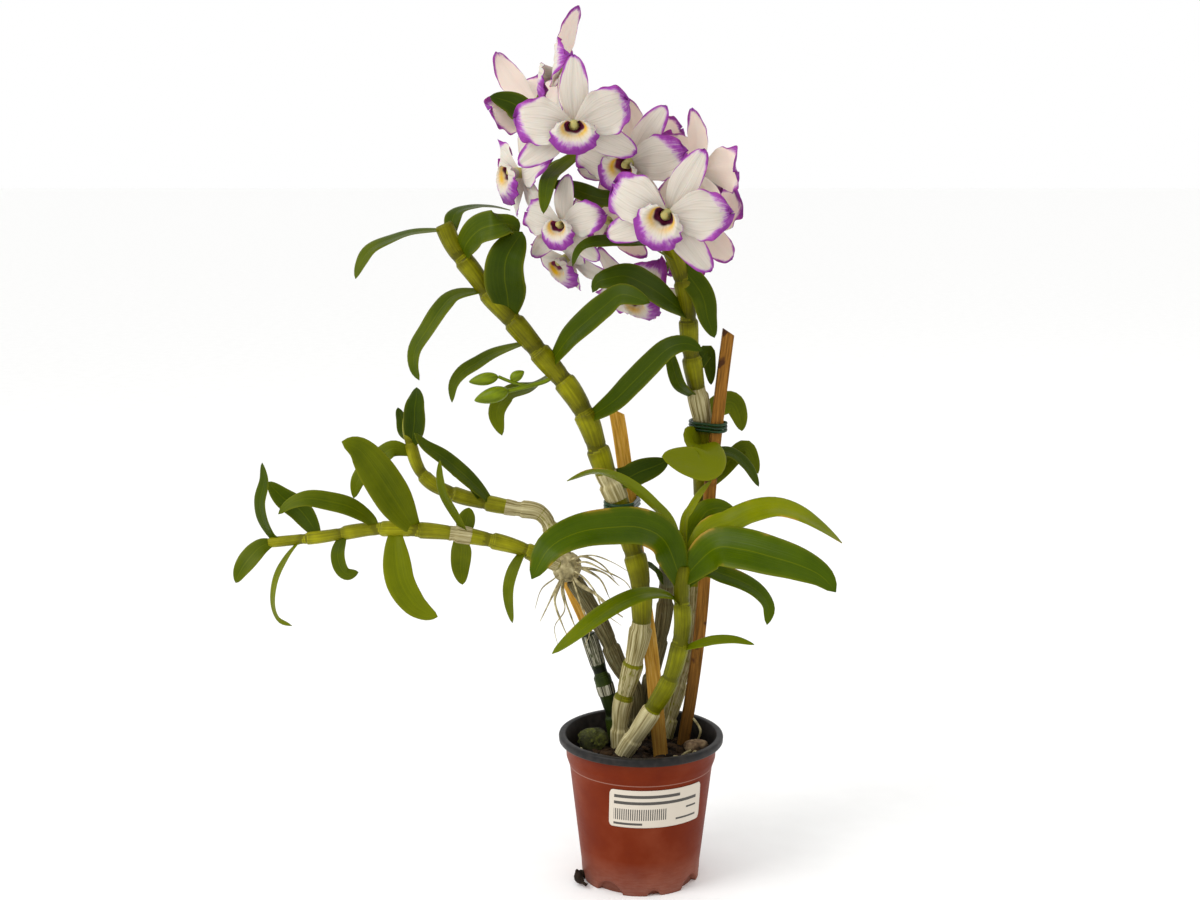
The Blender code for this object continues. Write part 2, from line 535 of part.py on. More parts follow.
def make_pot():
    inside = [(0, 1.7), (BASE_RADIUS - WALL, 1.7), (FOOT_RADIUS - WALL, FOOT_HEIGHT),
              (STEP_RADIUS - WALL, STEP_HEIGHT + 1), (COLLAR_RADIUS - WALL, STEP_HEIGHT + 4),
              (COLLAR_RADIUS + 0.2, POT_HEIGHT)]
    lip_side = [(RIM_RADIUS - 0.6, POT_HEIGHT), (RIM_RADIUS, POT_HEIGHT - 1.2),
                (RIM_RADIUS - 0.3, POT_HEIGHT - 4.3), (COLLAR_RADIUS + 0.3, POT_HEIGHT - 4.6)]
    outside = [(COLLAR_RADIUS - 0.5, STEP_HEIGHT + 5), (STEP_RADIUS, STEP_HEIGHT),
               (FOOT_RADIUS, FOOT_HEIGHT), (BASE_RADIUS, 0), (0, 0)]
    pot = turned("pot", inside + lip_side + outside, ROUND_STEPS)
    notches = []
    for number in range(8):
        turn = math.radians(NOTCH_TURN + 45 * number)
        outward = Vector((math.sin(turn), -math.cos(turn), 0))
        radius, drop = (9, -2) if number % 2 == 0 else (3.8, 0)
        ends = [outward * reach + Vector((0, 0, drop)) for reach in (BASE_RADIUS - 4, BASE_RADIUS + 4)]
        notches.append(tube("notch", ends, [radius, radius], 4))
    return combine(pot, notches, "DIFFERENCE")


def make_label():
    length, height = LABEL_SIZE

    def place(a, b):
        level = LABEL_HEIGHT + b * (height / 2 - (2 if a < 0.01 or a > 0.99 else 0))
        radius = wall_radius(level) + GAP + 0.4
        turn = math.radians(LABEL_TURN) + (a - 0.5) * length / radius
        return (radius * math.sin(turn), -radius * math.cos(turn), level)

    return sheet("label", 10, 1, place, 0.6)


def make_bark():
    """The filling of the pot with lumps and thin roots on top, and a hole for each stem."""
    draw = random.Random(4)
    side = [(0, BARK_TOP), (STEP_RADIUS - WALL - 1, BARK_TOP - 1),
            (STEP_RADIUS - WALL - 0.5, STEP_HEIGHT - 2), (FOOT_RADIUS - WALL - 0.5, FOOT_HEIGHT),
            (BASE_RADIUS - WALL - 0.5, 2.1), (0, 2.1)]
    bark = turned("bark", side, ROUND_STEPS)
    lumps = []
    for number in range(20):
        reach = 35 * math.sqrt(draw.random())
        turn = draw.uniform(0, 2 * math.pi)
        radii = (draw.uniform(3.5, 6), draw.uniform(2.5, 4), draw.uniform(1.6, 3))
        centre = (reach * math.sin(turn), reach * math.cos(turn), BARK_TOP - 0.4)
        lumps.append(lump("lump", centre, radii, draw.uniform(0, math.pi), 1, 0.2, draw))
    for route in SURFACE_ROOTS:
        lumps.append(tube("root", route, [0.7] * len(route), 0))
    combine(bark, lumps)
    holes = [hole(*rings(points, radii)) for points, radii in CANES]
    holes += [hole(points, [radius] * 3) for points, radius in STAKES]
    for centre, radii in (MOSSY_CHUNK, BROWN_CHUNK):
        wide = [radius + HOLE_GAP for radius in radii]
        holes.append(lump("seat", centre, wide, 0.3, 2, 0, draw))
    return combine(bark, holes, "DIFFERENCE")


def make_tie(first, first_radius, second, second_radius, height):
    """A wire ring drawn round a stem and its stake at a height."""
    cores = []
    for points, radius in ((first, first_radius), (second, second_radius)):
        route = smooth_route(points, 5)
        cores.append((min(route, key=lambda place: abs(place.z - height)), radius + 0.9 + TIE_RADIUS))
    ring = []
    for step in range(14):
        turn = 2 * math.pi * step / 14
        way = Vector((math.cos(turn), math.sin(turn), 0))
        core, reach = max(cores, key=lambda item: item[0].dot(way) + item[1])
        ring.append((core.x + way.x * reach, core.y + way.y * reach, height))
    return tube("tie", ring, [TIE_RADIUS] * len(ring), 0, closed=True)


def make_plantlet_roots():
    """The plantlet's base, a knot with sockets for the canes, and its air roots."""
    draw = random.Random(9)
    knot = lump("knot", KNOT_CENTRE, KNOT_RADII, 0.4, 2, 0.05, draw)
    strands = []
    for route, radius in AIR_ROOTS:
        strand = [KNOT_CENTRE, *route]
        radii = [radius * (1 - 0.4 * number / len(strand)) for number in range(len(strand))]
        strands.append(tube("strand", strand, radii, 0))
    combine(knot, strands)
    sockets = []
    for points, radius in ((PLANTLET_LOWER, 4.2), (PLANTLET_UPPER, 4.2), (OLD_GREY[::-1], 4.6)):
        near = smooth_route(points, 5)[:12]
        sunk = near[0] + (near[0] - near[1]).normalized() * 0.6
        sockets.append(tube("socket", [sunk, *near[1:]], [radius * 1.12 + HOLE_GAP] * 12, 4))
    return combine(knot, sockets, "DIFFERENCE")


def make_buds():
    """The stalk on the left cane, with two long buds and a small one."""
    root, _ = along(smooth_route(CANE_LEFT, 5), 258)
    stalk = [root, *BUD_STALK]
    pieces = [tube("stalk", stalk, [1.3] * len(stalk), 0)]
    for tail, head, radius in BUDS:
        tail, head = Vector(tail), Vector(head)
        places = [tail.lerp(head, a) for a in (0, 0.08, 0.45, 0.85, 1)]
        pieces.append(tube("bud", places, [radius * r for r in (0.3, 0.6, 1, 0.6, 0.15)], 1))
    fork = [BUD_STALK[1], BUD_FORK, BUDS[1][0]]
    pieces.append(tube("fork", fork, [1.0] * len(fork), 0))
    return pieces


for old in list(bpy.data.objects):
    bpy.data.objects.remove(old)

parts = bpy.data.collections.new("dendrobium_orchid")
bpy.context.scene.collection.children.link(parts)

terracotta = material("brown plastic", (0.31, 0.055, 0.02), 0.5)
paper = material("label paper", (0.85, 0.8, 0.76), 0.6)
bark_brown = material("bark", (0.035, 0.022, 0.014), 0.9)
moss = material("mossy bark", (0.06, 0.06, 0.015), 0.95)
wood = material("stake wood", (0.45, 0.2, 0.06), 0.7)
green_tape = material("plant tie", (0.02, 0.08, 0.02), 0.5)
leaf_green = material("leaf", (0.09, 0.17, 0.012), 0.45)
young_green = material("young leaf", (0.16, 0.28, 0.015), 0.45)
old_grey = material("old cane", (0.3, 0.28, 0.2), 0.8)
petal_white = material("petal", (0.82, 0.76, 0.72), 0.55)

finish(make_pot(), "pot", terracotta)
finish(make_label(), "pot_label", paper)
finish(make_bark(), "bark_mix", bark_brown, smooth=False)
finish(lump("chunk", *MOSSY_CHUNK, 0.3, 2, 0, random.Random(1)), "mossy_chunk", moss, smooth=False)
finish(lump("chunk", *BROWN_CHUNK, 0.3, 2, 0, random.Random(2)), "brown_chunk", bark_brown, smooth=False)
finish(tube("scrap", SCRAP, SCRAP_RADII, 1), "root_scrap", bark_brown, smooth=False)
for name, (points, radius) in zip(("stake_left", "stake_right", "stake_back"), STAKES):
    finish(tube(name, points, [radius] * len(points)), name, wood)
finish(make_tie(CANE_LEFT, 7.0, STAKE_LEFT, 4.2, 229), "tie_left", green_tape)
finish(make_tie(CANE_RIGHT, 6.2, STAKE_RIGHT, 3.8, 274.5), "tie_right", green_tape)
finish(cane("cane_left", CANE_LEFT, LEFT_RADII, LEAVES_LEFT, make_buds()), "cane_left", leaf_green)
flower_route = smooth_route(CANE_RIGHT, 5)
pedicels = [pedicel(flower_route, at, middle, centre, facing, size)
            for centre, facing, _, size, at, middle in BLOOMS]
finish(cane("cane_right", CANE_RIGHT, RIGHT_RADII, LEAVES_RIGHT, pedicels), "cane_right", leaf_green)
finish(cane("young_shoot", SHOOT, SHOOT_RADII, LEAVES_SHOOT), "young_shoot", young_green)
finish(cane("old_cane_grey", OLD_GREY, GREY_RADII, []), "old_cane_grey", old_grey)
finish(cane("old_cane_mottled", OLD_MOTTLED, MOTTLED_RADII, []), "old_cane_mottled", old_grey)
finish(cane("old_cane_back", OLD_BACK, BACK_RADII, LEAVES_BACK), "old_cane_back", old_grey)
finish(make_plantlet_roots(), "plantlet_roots", old_grey)
finish(cane("plantlet_lower", PLANTLET_LOWER, PLANTLET_RADII, LEAVES_LOWER, resolution=1),
       "plantlet_lower", leaf_green)
finish(cane("plantlet_upper", PLANTLET_UPPER, PLANTLET_RADII, LEAVES_UPPER, resolution=1),
       "plantlet_upper", leaf_green)
for number, (centre, facing, upward, size, _, _) in enumerate(BLOOMS, 1):
    made = bloom("bloom", centre, facing, upward, size, TURNS_OF.get(number, TURNS))
    finish(made, f"bloom_{number:02d}", petal_white)
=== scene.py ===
"""The looks of a potted dendrobium orchid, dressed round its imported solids.

Places are in millimetres until a mesh is made. +Z is up, the camera looks along
+Y, and the origin is the middle of the pot's underside. Routes run from the root
of a stem or leaf to its tip.
"""
import math

import bmesh
import bpy
import numpy as np
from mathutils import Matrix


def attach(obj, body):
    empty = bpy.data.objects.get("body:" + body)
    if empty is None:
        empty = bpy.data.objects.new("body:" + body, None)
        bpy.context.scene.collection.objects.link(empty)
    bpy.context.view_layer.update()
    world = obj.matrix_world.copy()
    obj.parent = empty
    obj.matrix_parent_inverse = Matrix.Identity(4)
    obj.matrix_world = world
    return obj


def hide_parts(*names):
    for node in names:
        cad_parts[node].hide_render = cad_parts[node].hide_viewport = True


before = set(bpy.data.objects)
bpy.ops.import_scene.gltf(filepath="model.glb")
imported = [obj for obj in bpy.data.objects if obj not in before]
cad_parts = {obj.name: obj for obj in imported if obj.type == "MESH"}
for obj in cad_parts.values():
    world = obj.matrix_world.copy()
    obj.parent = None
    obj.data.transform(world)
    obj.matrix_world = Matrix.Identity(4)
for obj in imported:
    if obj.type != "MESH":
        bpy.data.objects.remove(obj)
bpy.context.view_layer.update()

# Camera: level with the blooms and one metre away, tipped down a little, so that
# the mouth of the pot shows. The lens gives the photograph's field of view.
CAMERA_PLACE = (-0.0248, -1.0, 0.43)
CAMERA_DIP = 9.45
FOCAL_PIXELS = 1718
FRAME_PIXELS = 1200
SENSOR = 36

camera_data = bpy.data.cameras.new("camera")
camera_data.sensor_width = SENSOR
camera_data.lens = SENSOR * FOCAL_PIXELS / FRAME_PIXELS
camera = bpy.data.objects.new("camera", camera_data)
camera.location = CAMERA_PLACE
camera.rotation_euler = (math.radians(90 - CAMERA_DIP), 0, 0)
bpy.context.scene.collection.objects.link(camera)
bpy.context.scene.camera = camera
bpy.context.scene.view_settings.view_transform = "Standard"

# Light: a white room, a broad soft lamp high on the left in front, and a weaker one
# on the right behind, as in a bright shop.
world = bpy.data.worlds.new("studio")
world.use_nodes = True
world.node_tree.nodes["Background"].inputs["Color"].default_value = (1.0, 1.0, 1.0, 1.0)
world.node_tree.nodes["Background"].inputs["Strength"].default_value = 1.0
bpy.context.scene.world = world
for name, place, turn, size, power in (("key", (-0.95, -0.6, 1.1), (53, 0, -58), 0.7, 10),
                                       ("back", (0.8, 0.7, 1.1), (-50, 0, 135), 0.9, 3)):
    lamp = bpy.data.lights.new(name, "AREA")
    lamp.size = size
    lamp.energy = power
    holder = bpy.data.objects.new(name, lamp)
    holder.location = place
    holder.rotation_euler = [math.radians(angle) for angle in turn]
    bpy.context.scene.collection.objects.link(holder)


# Floor: a plain pale sheet of coated paper that the pot stands on, far wider than
# the view. It is no part of the object.
def linear(colour):
    """An sRGB hex value such as "a04a30" as linear red, green, blue and alpha."""
    shares = [int(colour[start:start + 2], 16) / 255 for start in (0, 2, 4)]
    return (*[share / 12.92 if share < 0.04045 else ((share + 0.055) / 1.055) ** 2.4
              for share in shares], 1.0)


def join(node, sources):
    """Links into a node's sockets, each from an output socket or from a node's first output."""
    for key, source in sources.items():
        node.id_data.links.new(getattr(source, "outputs", [source])[0], node.inputs[key])


def add(tree, kind, settings=None, links=None):
    """A node with its settings, by property, socket or colour stops, and its links, by socket."""
    made = tree.nodes.new("ShaderNode" + kind)
    for key, value in (settings or {}).items():
        if key == "stops":
            band = made.color_ramp.elements
            while len(band) < len(value):
                band.new(0.5)
            for element, (place, colour) in zip(band, value):
                element.position, element.color = place, linear(colour)
        elif isinstance(key, str) and hasattr(made, key):
            setattr(made, key, value)
        else:
            made.inputs[key].default_value = value
    join(made, links or {})
    return made


def finish_named(name, roughness, **settings):
    """A material with a Principled surface, that surface, its tree and its coordinates."""
    made = bpy.data.materials.new(name)
    made.use_nodes = True
    surface = made.node_tree.nodes["Principled BSDF"]
    surface.inputs["Roughness"].default_value = roughness
    for key, value in settings.items():
        surface.inputs[key.replace("_", " ")].default_value = value
    return made, surface, made.node_tree, add(made.node_tree, "TexCoord").outputs


paper_floor, surface, tree, spot = finish_named("coated paper sheet", 0.9)
grain = add(tree, "TexNoise", {"Scale": 40.0, "Detail": 3.0}, {"Vector": spot["Object"]})
pale = add(tree, "ValToRGB", {"stops": [(0.3, "fbfbfa"), (0.7, "fefefd")]}, {"Fac": grain})
join(surface, {"Base Color": pale})
bpy.ops.mesh.primitive_plane_add(size=60)
floor = bpy.context.object
floor.name = "floor"
floor.data.materials.append(paper_floor)


# Pot: one thin injection-moulded polypropylene pot, red-brown outside with a black
# inside and lip, a flared collar above its step and arched notches in its foot for
# drainage. Its wall is a profile turned about Z that changes with the angle.
MM = 0.001
RIM_RADIUS = 50
COLLAR_RADIUS = 45.7
STEP_RADIUS = 43.4
STEP_HEIGHT = 71
FOOT_RADIUS = 36.4
BASE_RADIUS = 35.4
FOOT_HEIGHT = 12
POT_HEIGHT = 90
WALL = 1.3
FLOOR_LEVEL = 1.7
NOTCH_TURN = math.radians(-33)
NOTCH_REACH = 9
NOTCH_RISE = 7
SLOT_REACH = 4
SLOT_RISE = 3.4
DENT_TURN = math.radians(-31)
DENT = 1.1
WARP = 0.35


def patch(points, u, v, look=0, **marks):
    """A grid of points in millimetres, with UV places and marks for each point."""
    size = points.shape[:2]
    spread = {key: np.broadcast_to(value, size).ravel() for key, value in marks.items()}
    return {"points": points, "u": np.broadcast_to(u, size), "v": np.broadcast_to(v, size),
            "look": look, "marks": spread}


def make_piece(name, patches, looks, node, smooth=True):
    """One mesh of grids, whose quads join each point to the next in row and column."""
    corners, uvs, slots = [], [], []
    first = 0
    for item in patches:
        rows, columns = item["points"].shape[:2]
        index = first + np.arange(rows * columns).reshape(rows, columns)
        quads = np.stack([index[:-1, :-1], index[:-1, 1:], index[1:, 1:], index[1:, :-1]], axis=-1)
        corners.append(quads.reshape(-1, 4))
        uvs.append(np.stack([item["u"].ravel(), item["v"].ravel()], axis=1))
        slots.append(np.full((rows - 1) * (columns - 1), item["look"]))
        first += rows * columns
    corners = np.concatenate(corners).astype(np.int32)
    points = np.concatenate([item["points"].reshape(-1, 3) for item in patches]) * MM
    mesh = bpy.data.meshes.new(name)
    mesh.vertices.add(len(points))
    mesh.vertices.foreach_set("co", points.astype(np.float32).ravel())
    mesh.loops.add(corners.size)
    mesh.loops.foreach_set("vertex_index", corners.ravel())
    mesh.polygons.add(len(corners))
    mesh.polygons.foreach_set("loop_start", np.arange(0, corners.size, 4, dtype=np.int32))
    mesh.polygons.foreach_set("material_index", np.concatenate(slots).astype(np.int32))
    mesh.update(calc_edges=True)
    layer = mesh.uv_layers.new(name="UVMap")
    layer.data.foreach_set("uv", np.concatenate(uvs)[corners.ravel()].astype(np.float32).ravel())
    for mark in sorted({key for item in patches for key in item["marks"]}):
        values = [item["marks"].get(mark, np.zeros(item["u"].size)) for item in patches]
        store = mesh.attributes.new(mark, "FLOAT", "POINT")
        store.data.foreach_set("value", np.concatenate(values).astype(np.float32))
    shell = bmesh.new()
    shell.from_mesh(mesh)
    bmesh.ops.remove_doubles(shell, verts=shell.verts, dist=0.000002)
    bmesh.ops.recalc_face_normals(shell, faces=shell.faces)
    shell.to_mesh(mesh)
    shell.free()
    for look in looks:
        mesh.materials.append(look)
    if smooth:
        mesh.shade_smooth()
    piece = bpy.data.objects.new(name, mesh)
    bpy.context.scene.collection.objects.link(piece)
    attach(piece, "root")
    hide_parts(node)
    return piece


def notch_height(turn):
    """How high the drainage notches reach at an angle: wide arches, and small ones between."""
    fold = (turn - NOTCH_TURN + math.pi / 4) % (math.pi / 2) - math.pi / 4
    wide = NOTCH_RISE * np.clip(1 - (fold * BASE_RADIUS / NOTCH_REACH) ** 2, 0, 1) ** 0.7
    fold = (turn - NOTCH_TURN) % (math.pi / 2) - math.pi / 4
    small = SLOT_RISE * np.clip(1 - (fold * BASE_RADIUS / SLOT_REACH) ** 2, 0, 1) ** 0.7
    return np.maximum(wide, small)


def wall_radius(height):
    """Radius of the plain wall between foot and step: a straight taper."""
    return FOOT_RADIUS + (STEP_RADIUS - FOOT_RADIUS) * (height - FOOT_HEIGHT) / (STEP_HEIGHT - FOOT_HEIGHT)


def warp_of(turn, height):
    """How far the thin wall leans out at an angle: an oval that grows with the height."""
    return WARP * np.sin(2 * turn + 0.6) * (height / POT_HEIGHT)


def pot_wall():
    """Every corner of the profile is a ring: radius and height, bent by notch and dent."""
    turn = np.linspace(0, 2 * math.pi, 361)
    rise = notch_height(turn)
    cut = rise > 0.05
    corner = BASE_RADIUS - np.where(cut, 3.0, 0.25)
    profile = [(0.0, FLOOR_LEVEL), (BASE_RADIUS - 4.5, FLOOR_LEVEL),
               (BASE_RADIUS - WALL - 2, np.maximum(FLOOR_LEVEL, rise + 0.4)),
               (FOOT_RADIUS - WALL, FOOT_HEIGHT), (STEP_RADIUS - WALL, STEP_HEIGHT + 1),
               (COLLAR_RADIUS - WALL, STEP_HEIGHT + 4), (COLLAR_RADIUS + 0.1, POT_HEIGHT - 0.5),
               (COLLAR_RADIUS + 0.7, POT_HEIGHT), (RIM_RADIUS - 1, POT_HEIGHT),
               (RIM_RADIUS - 0.3, POT_HEIGHT - 0.4), (RIM_RADIUS, POT_HEIGHT - 1.3),
               (RIM_RADIUS - 0.2, POT_HEIGHT - 3.8), (RIM_RADIUS - 0.7, POT_HEIGHT - 4.5),
               (COLLAR_RADIUS + 0.9, POT_HEIGHT - 4.7), (COLLAR_RADIUS + 0.2, POT_HEIGHT - 5.3),
               (COLLAR_RADIUS - 0.4, STEP_HEIGHT + 5.4), (COLLAR_RADIUS - 0.9, STEP_HEIGHT + 3.8),
               (STEP_RADIUS + 0.3, STEP_HEIGHT + 0.6), (STEP_RADIUS, STEP_HEIGHT - 0.4)]
    black = len(profile) - 6
    wall = [(wall_radius(height), height) for height in np.linspace(STEP_HEIGHT - 3, FOOT_HEIGHT + 0.5, 20)]
    foot = [(FOOT_RADIUS - 0.15, FOOT_HEIGHT - 0.4), (FOOT_RADIUS - 0.45, np.maximum(rise + 0.8, 6)),
            (BASE_RADIUS + 0.05, np.maximum(rise + 0.1, 0.5)), (corner, np.where(cut, rise, 0.0)),
            (BASE_RADIUS - 3.2, 0.0), (0.0, 0.0)]
    profile += wall + foot
    radius = np.stack([np.broadcast_to(item[0], turn.shape) for item in profile])
    height = np.stack([np.broadcast_to(item[1], turn.shape) for item in profile])
    across = (turn - DENT_TURN) * STEP_RADIUS
    dent = DENT * np.exp(-(across / 3.5) ** 2 - ((height - STEP_HEIGHT - 1) / 4) ** 2)
    radius = radius + np.where(radius > 20, warp_of(turn, height) - dent, 0)
    points = np.stack([radius * np.sin(turn), -radius * np.cos(turn), height], axis=-1)
    along = np.arange(len(profile))[:, None] / len(profile)
    inside = patch(points[:black + 1], turn / (2 * math.pi), along[:black + 1], 1)
    outside = patch(points[black:], turn / (2 * math.pi), along[black:], 0)
    return [inside, outside]


# Moulded polypropylene: a satin gloss, faint flow marks round the wall, scuffs, and
# pale dried water marks that gather at the foot and under the step.
pot_brown, surface, tree, spot = finish_named("moulded red-brown polypropylene", 0.42,
                                              IOR=1.49, Specular_IOR_Level=0.07)
apart = add(tree, "SeparateXYZ", links={0: spot["Object"]})
cloud = add(tree, "TexNoise", {"Scale": 38.0, "Detail": 4.0}, {"Vector": spot["Object"]})
base = add(tree, "ValToRGB", {"stops": [(0.3, "64200a"), (0.7, "762c0d")]}, {"Fac": cloud})
flat = add(tree, "Mapping", {"Scale": (1, 1, 6)}, {"Vector": spot["Object"]})
scuff = add(tree, "TexNoise", {"Scale": 150.0, "Detail": 6.0, "Roughness": 0.7}, {"Vector": flat})
low = add(tree, "MapRange", {"From Min": 0.022, "From Max": 0.002, "To Min": 0.0, "To Max": 0.32},
          {"Value": apart.outputs["Z"]})
patchy = add(tree, "MapRange", {"From Min": 0.48, "From Max": 0.72}, {"Value": cloud})
dust = add(tree, "Math", {"operation": "MULTIPLY"}, {0: low, 1: scuff})
dust = add(tree, "Math", {"operation": "MULTIPLY_ADD", 1: 0.03}, {0: patchy, 2: dust})
line = add(tree, "Math", {"operation": "COMPARE", 1: 0.0716, 2: 0.0003}, {0: apart.outputs["Z"]})
dust = add(tree, "Math", {"operation": "MULTIPLY_ADD", 1: 0.3}, {0: line, 2: dust})
mixed = add(tree, "Mix", {"data_type": "RGBA", 7: linear("c7a595")}, {0: dust, 6: base})
rough = add(tree, "MapRange", {"To Min": 0.32, "To Max": 0.6}, {"Value": scuff})
join(surface, {"Roughness": rough})
bump = add(tree, "Bump", {"Strength": 0.12, "Distance": 0.0004}, {"Height": scuff})
join(surface, {"Base Color": mixed.outputs[2], "Normal": bump})

# The same plastic coloured black: greyed by dust and scratches on the lip.
pot_black, surface, tree, spot = finish_named("moulded black polypropylene", 0.5,
                                              IOR=1.49, Specular_IOR_Level=0.25)
scuff = add(tree, "TexNoise", {"Scale": 220.0, "Detail": 5.0}, {"Vector": spot["Object"]})
skin = add(tree, "ValToRGB", {"stops": [(0.4, "0d0b0a"), (0.7, "26211e")]}, {"Fac": scuff})
bump = add(tree, "Bump", {"Strength": 0.2, "Distance": 0.0003}, {"Height": scuff})
join(surface, {"Base Color": skin, "Normal": bump})

make_piece("nursery_pot", pot_wall(), [pot_brown, pot_black], "pot")

# Label: a white self-adhesive film with rounded corners, wrapped on the pot's wall,
# printed with plain grey rules and a block of even bars.
LABEL_LENGTH = 60
LABEL_HEIGHT = 24
LABEL_LEVEL = 57
LABEL_TURN = math.radians(13.4)
LABEL_CORNER = 2.5
LABEL_FILM = 0.25
LABEL_LIFT = 0.35


def sheet(place, rows, columns, thickness):
    """A thin closed sheet round place(a, b), with a along it and b across from 1 to -1 and back.

    b is the cosine of an angle round the sheet's section, and its sine times half the
    thickness is the offset along the normal. Returns points, a, b and that sine."""
    a = np.concatenate([[0], np.linspace(0, 1, rows), [1]])[:, None]
    angle = np.linspace(0, 2 * math.pi, columns + 1)[None, :]
    b = np.cos(angle)
    step = 0.002
    ahead = place(a + step, b) - place(a - step, b)
    across = place(a, b + step) - place(a, b - step)
    normal = np.cross(ahead, across)
    normal /= np.maximum(np.linalg.norm(normal, axis=-1, keepdims=True), 1e-9)
    side = np.sin(angle) * np.concatenate([[0], np.ones(rows), [0]])[:, None]
    points = place(a, b) + normal * (side * thickness / 2)[..., None]
    return points, a, b, side


def on_label(a, b):
    """The label's film: a runs along it, b up it, its corners rounded by an arc."""
    from_end = np.minimum(a, 1 - a) * LABEL_LENGTH
    cut = np.maximum(LABEL_CORNER - from_end, 0)
    inset = LABEL_CORNER - np.sqrt(np.maximum(LABEL_CORNER ** 2 - cut ** 2, 0))
    height = LABEL_LEVEL + b * (LABEL_HEIGHT / 2 - np.minimum(inset, LABEL_CORNER)) + 0 * a
    radius = wall_radius(height) + LABEL_LIFT
    turn = LABEL_TURN + (a - 0.5) * LABEL_LENGTH / radius
    radius = radius + warp_of(turn, height)
    return np.stack([radius * np.sin(turn), -radius * np.cos(turn), height], axis=-1)


# Coated paper label: bright and slightly glossy. Its print is worked out from the
# UV map: u runs from 0 to 1 along the label, v up it.
label_film, surface, tree, spot = finish_named("white coated label film", 0.45, Specular_IOR_Level=0.2)
apart = add(tree, "SeparateXYZ", links={0: spot["UV"]})
ink = None
# Each printed block: its ends along the label, its foot and head, and its bars per label length.
for left, right, foot, head, bars in ((0.05, 0.72, 0.79, 0.87, 0), (0.05, 0.93, 0.62, 0.70, 0),
                                      (0.05, 0.58, 0.20, 0.50, 46), (0.80, 0.93, 0.42, 0.47, 0),
                                      (0.68, 0.93, 0.16, 0.21, 0), (0.05, 0.34, 0.07, 0.13, 0)):
    wide = add(tree, "Math", {"operation": "COMPARE", 1: (left + right) / 2, 2: (right - left) / 2},
               {0: apart.outputs["X"]})
    tall = add(tree, "Math", {"operation": "COMPARE", 1: (foot + head) / 2, 2: (head - foot) / 2},
               {0: apart.outputs["Y"]})
    block = add(tree, "Math", {"operation": "MULTIPLY"}, {0: wide, 1: tall})
    if bars:
        count = add(tree, "Math", {"operation": "MULTIPLY", 1: bars}, {0: apart.outputs["X"]})
        share = add(tree, "Math", {"operation": "FRACT"}, {0: count})
        dark = add(tree, "Math", {"operation": "LESS_THAN", 1: 0.5}, {0: share})
        block = add(tree, "Math", {"operation": "MULTIPLY"}, {0: block, 1: dark})
    if ink:
        block = add(tree, "Math", {"operation": "MAXIMUM"}, {0: block, 1: ink})
    ink = block
mixed = add(tree, "Mix", {"data_type": "RGBA", 6: linear("cec4b5"), 7: linear("4d4a46")}, {0: ink})
join(surface, {"Base Color": mixed.outputs[2]})

points, a, b, side = sheet(on_label, 81, 24, LABEL_FILM)
make_piece("label", [patch(points, a, (b + 1) / 2)], [label_film], "pot_label")


# Potting bark: chips of pine bark that fill the pot, dark and damp, with a few thin
# live roots on top. One disc closes the pot, and chips lie on it at random.
BARK_TOP = 75
CHIPS = 240
CHIP_REACH = 37
ROOT_RADIUS = 0.75
SURFACE_ROOTS = [
    [(26, 2, 74), (30, -2, 79), (25, -10, 79), (20, -16, 75)],
    [(30, 0, 74), (33, -6, 80), (33, -14, 75)],
    [(34, 18, 75), (37, 14, 86), (33, 19, 92), (31, 24, 91)],
    [(-36, -4, 75), (-37, -8, 81), (-36, -9, 83)],
    [(20, -4, 76), (24, -12, 78), (27, -20, 76)],
]
draw = np.random.default_rng(7)


def lump(centre, radii, spin, square, rough, look=0, rows=7, columns=10, **marks):
    """A ball drawn towards a box by a power below 1, stretched, roughened and turned."""
    up = np.linspace(0, math.pi, rows)[:, None]
    turn = np.linspace(0, 2 * math.pi, columns + 1)[None, :]

    def drawn(wave):
        return np.sign(wave) * np.abs(wave) ** square

    points = np.stack([drawn(np.sin(up)) * drawn(np.cos(turn)), drawn(np.sin(up)) * drawn(np.sin(turn)),
                       drawn(np.cos(up)) + 0 * turn], axis=-1)
    noise = 1 + rough * draw.uniform(-1, 1, (rows, columns + 1, 1))
    noise[:, -1] = noise[:, 0]
    noise[0] = noise[0, 0]
    noise[-1] = noise[-1, 0]
    cos, sin = np.cos(spin), np.sin(spin)
    about_z = np.array([[cos[0], -sin[0], 0], [sin[0], cos[0], 0], [0, 0, 1]])
    about_x = np.array([[1, 0, 0], [0, cos[1], -sin[1]], [0, sin[1], cos[1]]])
    points = (points * noise * np.array(radii)) @ (about_z @ about_x).T + np.array(centre)
    return patch(points, turn / (2 * math.pi), up / math.pi, look, **marks)


def route_of(points, count):
    """Points, directions and distances, evenly spaced on a Catmull-Rom curve through the points."""
    points = np.array(points, float)
    padded = np.vstack([2 * points[0] - points[1], points, 2 * points[-1] - points[-2]])
    t = np.linspace(0, 1, 12, endpoint=False)[:, None]
    spans = [0.5 * (2 * p1 + (p2 - p0) * t + (2 * p0 - 5 * p1 + 4 * p2 - p3) * t ** 2
                    + (3 * p1 - p0 - 3 * p2 + p3) * t ** 3)
             for p0, p1, p2, p3 in zip(padded, padded[1:], padded[2:], padded[3:])]
    curve = np.vstack([*spans, points[-1:]])
    reach = np.concatenate([[0], np.cumsum(np.linalg.norm(np.diff(curve, axis=0), axis=1))])
    at = np.linspace(0, reach[-1], count)
    places = np.stack([np.interp(at, reach, curve[:, axis]) for axis in range(3)], axis=1)
    ahead = np.gradient(places, axis=0)
    return places, ahead / np.linalg.norm(ahead, axis=1, keepdims=True), at


